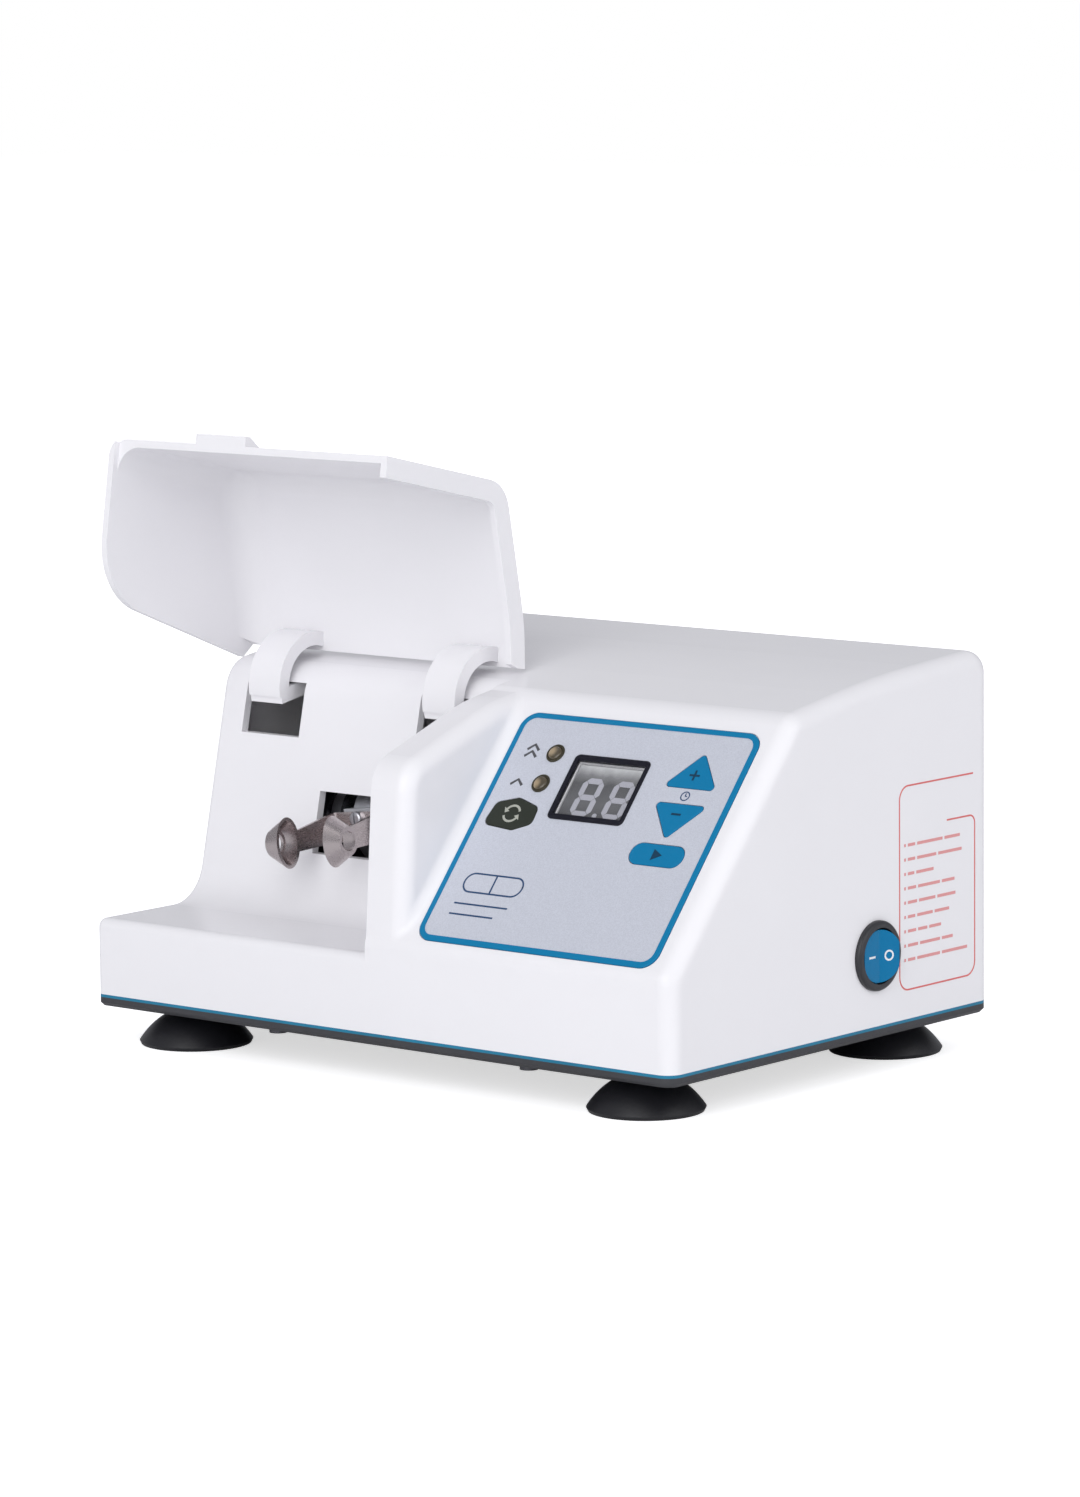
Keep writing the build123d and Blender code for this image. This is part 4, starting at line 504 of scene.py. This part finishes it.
# Marks on the keys: more time, less time, start, and change of speed.
MARK_WIDTH = 0.75
PLUS_CENTRE, PLUS_REACH, PLUS_RISE = (217.5, 73.4), 2.0, 1.9
MINUS_CENTRE, MINUS_REACH = (217.5, 58.6), 1.9
START_CORNERS = ((215.9, 45.3), (215.9, 41.1), (219.7, 43.2))
CYCLE_CENTRE, CYCLE_RADIUS, CYCLE_WIDTH = (153.4, 52.3), 3.0, 0.8
ARROW_HALF = 1.4                                 # half of an arrowhead's width
ARROW_START, ARROW_ROOT, ARROW_TIP = 20, 150, 178    # degrees along each half turn
ARROW_STEPS = 10


def flat_stroke(centre, reach):
    return [(centre[0] - reach, centre[1]), (centre[0] + reach, centre[1])]


plus = Print(CONTROL_FACE, KEY_LEVEL)
plus.line(flat_stroke(PLUS_CENTRE, PLUS_REACH), MARK_WIDTH)
x, y = PLUS_CENTRE
plus.line([(x, y - PLUS_RISE), (x, y + PLUS_RISE)], MARK_WIDTH, CROSSING_LIFT)
plus.put("plus_mark", "key_up", inks["deep"])

minus = Print(CONTROL_FACE, KEY_LEVEL)
minus.line(flat_stroke(MINUS_CENTRE, MINUS_REACH), MARK_WIDTH)
minus.put("minus_mark", "key_down", inks["deep"])

play = Print(CONTROL_FACE, KEY_LEVEL)
play.patch(START_CORNERS)
play.put("start_mark", "key_start", inks["deep"])

cycle = Print(CONTROL_FACE, KEY_LEVEL)
for turn in (0, 180):
    cycle.line(arc_points(CYCLE_CENTRE, CYCLE_RADIUS, turn + ARROW_START, turn + ARROW_ROOT,
                          ARROW_STEPS), CYCLE_WIDTH)
    cycle.patch([arc_points(CYCLE_CENTRE, CYCLE_RADIUS + out, turn + angle, turn + angle, 1)[0]
                 for out, angle in ((0, ARROW_TIP), (-ARROW_HALF, ARROW_ROOT),
                                    (ARROW_HALF, ARROW_ROOT))])
cycle.put("select_mark", "key_select", inks["bone"])

# Chevrons beside the lamps: two for the fast speed, one for the slow.
CHEVRON_CENTRES = ((149.2, 75.4), (149.2, 78.0), (149.2, 64.4))
CHEVRON_REACH, CHEVRON_FOOT, CHEVRON_HEAD, CHEVRON_WIDTH = 2.4, -1.2, 0.9, 1.0
chevrons = Print(CONTROL_FACE, OVERLAY_LEVEL)
for x, y in CHEVRON_CENTRES:
    chevrons.line([(x - CHEVRON_REACH, y + CHEVRON_FOOT), (x, y + CHEVRON_HEAD),
                   (x + CHEVRON_REACH, y + CHEVRON_FOOT)], CHEVRON_WIDTH)
chevrons.put("speed_marks", "root", inks["grey"])

# Small clock between the time keys, and a capsule over two rules at the panel's foot.
CLOCK_CENTRE, CLOCK_RADIUS, CLOCK_WIDTH = (217.5, 65.6), 1.6, 0.4
CLOCK_HANDS = (((217.5, 66.7), 0.0), ((218.3, 65.6), CROSSING_LIFT))
HAND_WIDTH = 0.35
CAPSULE_LEFT, CAPSULE_FOOT, CAPSULE_RIGHT, CAPSULE_HEAD = 148.0, 22.0, 172.0, 29.0
CAPSULE_RADIUS = 3.45
CAPSULE_INSET = 0.1                              # of the line across it from its outline
RULES = ((17.5, 22.0), (13.5, 18.0))             # height and length of each
RULE_WIDTH = 0.6
panel_marks = Print(CONTROL_FACE, OVERLAY_LEVEL)
panel_marks.ring(CLOCK_CENTRE, CLOCK_RADIUS, CLOCK_WIDTH)
for tip, hand_lift in CLOCK_HANDS:
    panel_marks.line([CLOCK_CENTRE, tip], HAND_WIDTH, hand_lift)
capsule = rounded_box(CAPSULE_LEFT, CAPSULE_FOOT, CAPSULE_RIGHT, CAPSULE_HEAD, CAPSULE_RADIUS)
panel_marks.line(capsule + capsule[:2], RULE_WIDTH)
capsule_middle = (CAPSULE_LEFT + CAPSULE_RIGHT) / 2
panel_marks.line([(capsule_middle, CAPSULE_FOOT + CAPSULE_INSET),
                  (capsule_middle, CAPSULE_HEAD - CAPSULE_INSET)], RULE_WIDTH, CROSSING_LIFT)
for height, length in RULES:
    panel_marks.line([(CAPSULE_LEFT, height), (CAPSULE_LEFT + length, height)], RULE_WIDTH)
panel_marks.put("panel_marks", "root", inks["navy"])

# Ruled label on the right side, measured back from the front and up from the lower edge. Its
# frame is open at the upper right, where the rule ends above a lower shoulder.
LABEL_LEFT, LABEL_RIGHT = 119.0, 160.5
LABEL_FOOT, LABEL_HEAD = 9.6, 76.4
LABEL_HEAD_END = 159.6
LABEL_SHOULDER, LABEL_SHOULDER_END = 62.6, 145.0
LABEL_CORNER = 4.6
SHOULDER_CORNER = LABEL_CORNER * 0.6
LABEL_WIDTH = 0.55
label = Print(RIGHT_FACE)
label_frame = [(LABEL_HEAD_END, LABEL_HEAD)]
for across, up, radius, start in (
        (LABEL_LEFT + LABEL_CORNER, LABEL_HEAD - LABEL_CORNER, LABEL_CORNER, 90),
        (LABEL_LEFT + LABEL_CORNER, LABEL_FOOT + LABEL_CORNER, LABEL_CORNER, 180),
        (LABEL_RIGHT - LABEL_CORNER, LABEL_FOOT + LABEL_CORNER, LABEL_CORNER, 270),
        (LABEL_RIGHT - SHOULDER_CORNER, LABEL_SHOULDER - SHOULDER_CORNER, SHOULDER_CORNER, 0)):
    label_frame += arc_points((across, up), radius, start, start + 90, CORNER_STEPS)
label_frame.append((LABEL_SHOULDER_END, LABEL_SHOULDER))
label.line(label_frame, LABEL_WIDTH)
label.put("side_label", "root", inks["red"])

# Rows of broken bars inside it, each after a dot.
ROWS = ((4.0, 14.0, 8.5), (4.0, 10.5, 13.0), (3.5, 9.5), (4.5, 12.0, 7.0), (5.0, 9.0, 10.0),
        (4.0, 8.5, 8.0), (4.5, 5.0, 6.5), (5.5, 11.0, 6.0), (4.0, 12.5, 14.0))
ROW_LEFT = LABEL_LEFT + 2.5
ROW_HEAD, ROW_STEP, ROW_WIDTH = 57.0, 4.7, 1.0
DOT, ROW_GAP = 0.9, 1.1
label_bars = Print(RIGHT_FACE)
for number, lengths in enumerate(ROWS):
    reach, height = ROW_LEFT, ROW_HEAD - number * ROW_STEP
    for length in (DOT,) + lengths:
        label_bars.line([(reach, height), (reach + length, height)], ROW_WIDTH)
        reach += length + ROW_GAP
label_bars.put("label_bars", "root", inks["rose"])

# A stroke and a ring on the two halves of the rocker, which lie at an angle to each other.
SWITCH_BACK, SWITCH_UP = 106.3, 23.2
PIVOT_INSET = 1.0                                # of the rocker's axis from the housing's side
ROCKER_VALLEY = 2.6                              # of the line where its halves meet, from the axis
ROCKER_TILT = math.radians(10.0)
MARK_PLACE = 4.2                                 # from that line to the middle of a mark
ROCKER_STROKE_REACH, ROCKER_STROKE_WIDTH = 1.6, 0.7
ROCKER_RING_RADIUS, ROCKER_RING_WIDTH = 1.5, 0.6
rocker_turn = (RIGHT_FACE @ Matrix.Translation((SWITCH_BACK, SWITCH_UP, -PIVOT_INSET))
               @ Matrix.Rotation(-ROCKER_TILT, 4, "Y"))


def rocker_half(side):
    """Matrix that carries a drawing to the middle of one half of the rocker."""
    return (rocker_turn @ Matrix.Rotation(-side * ROCKER_TILT, 4, "Y")
            @ Matrix.Translation((side * MARK_PLACE, 0, ROCKER_VALLEY * math.cos(ROCKER_TILT))))


rocker_marks = Print(rocker_half(-1))
rocker_marks.line(flat_stroke((0, 0), ROCKER_STROKE_REACH), ROCKER_STROKE_WIDTH)
rocker_marks.face = rocker_half(1)
rocker_marks.ring((0, 0), ROCKER_RING_RADIUS, ROCKER_RING_WIDTH)
rocker_marks.put("rocker_marks", "rocker", inks["white"])

# ------------------------------------------------------------------ floor and sky
FLOOR_REACH = 6.0
FLOOR_GLOW = 0.62                                # lifts the floor to white for the camera alone
SKY_COLOUR, SKY_STRENGTH = (0.93, 0.94, 1.0, 1), 0.46


def add_floor():
    f = Finish("studio_floor")
    seen = f.node("ShaderNodeLightPath", output="Is Camera Ray")
    tint = f.between(f.noise(scale=3.0), grey(0.90, 0.01), grey(0.93, 0.01))
    matt = f.node("ShaderNodeBsdfDiffuse", None, {"Color": tint})
    glow = f.node("ShaderNodeEmission", None, {"Color": grey(1.0), "Strength": FLOOR_GLOW})
    both = f.node("ShaderNodeAddShader", None, {0: matt, 1: glow})
    f.end("ShaderNodeOutputMaterial", f.mix_shaders(seen, matt, both))
    shape = bmesh.new()
    bmesh.ops.create_grid(shape, x_segments=1, y_segments=1, size=FLOOR_REACH)
    mesh = bpy.data.meshes.new("floor")
    shape.to_mesh(mesh)
    shape.free()
    mesh.materials.append(f.material)
    floor_sheet = bpy.data.objects.new("floor", mesh)
    bpy.context.collection.objects.link(floor_sheet)


def add_sky():
    """Soft light from all round, behind a backdrop that is white to the camera."""
    world = bpy.data.worlds.new("studio")
    sky = Shader(world)
    seen = sky.node("ShaderNodeLightPath", output="Is Camera Ray")
    soft = sky.node("ShaderNodeBackground", None, {0: SKY_COLOUR, 1: SKY_STRENGTH})
    white = sky.node("ShaderNodeBackground", None, {0: grey(1.0), 1: 1.0})
    sky.end("ShaderNodeOutputWorld", sky.mix_shaders(seen, soft, white))
    bpy.context.scene.world = world


add_floor()
add_sky()
bpy.context.scene.view_settings.view_transform = "Standard"
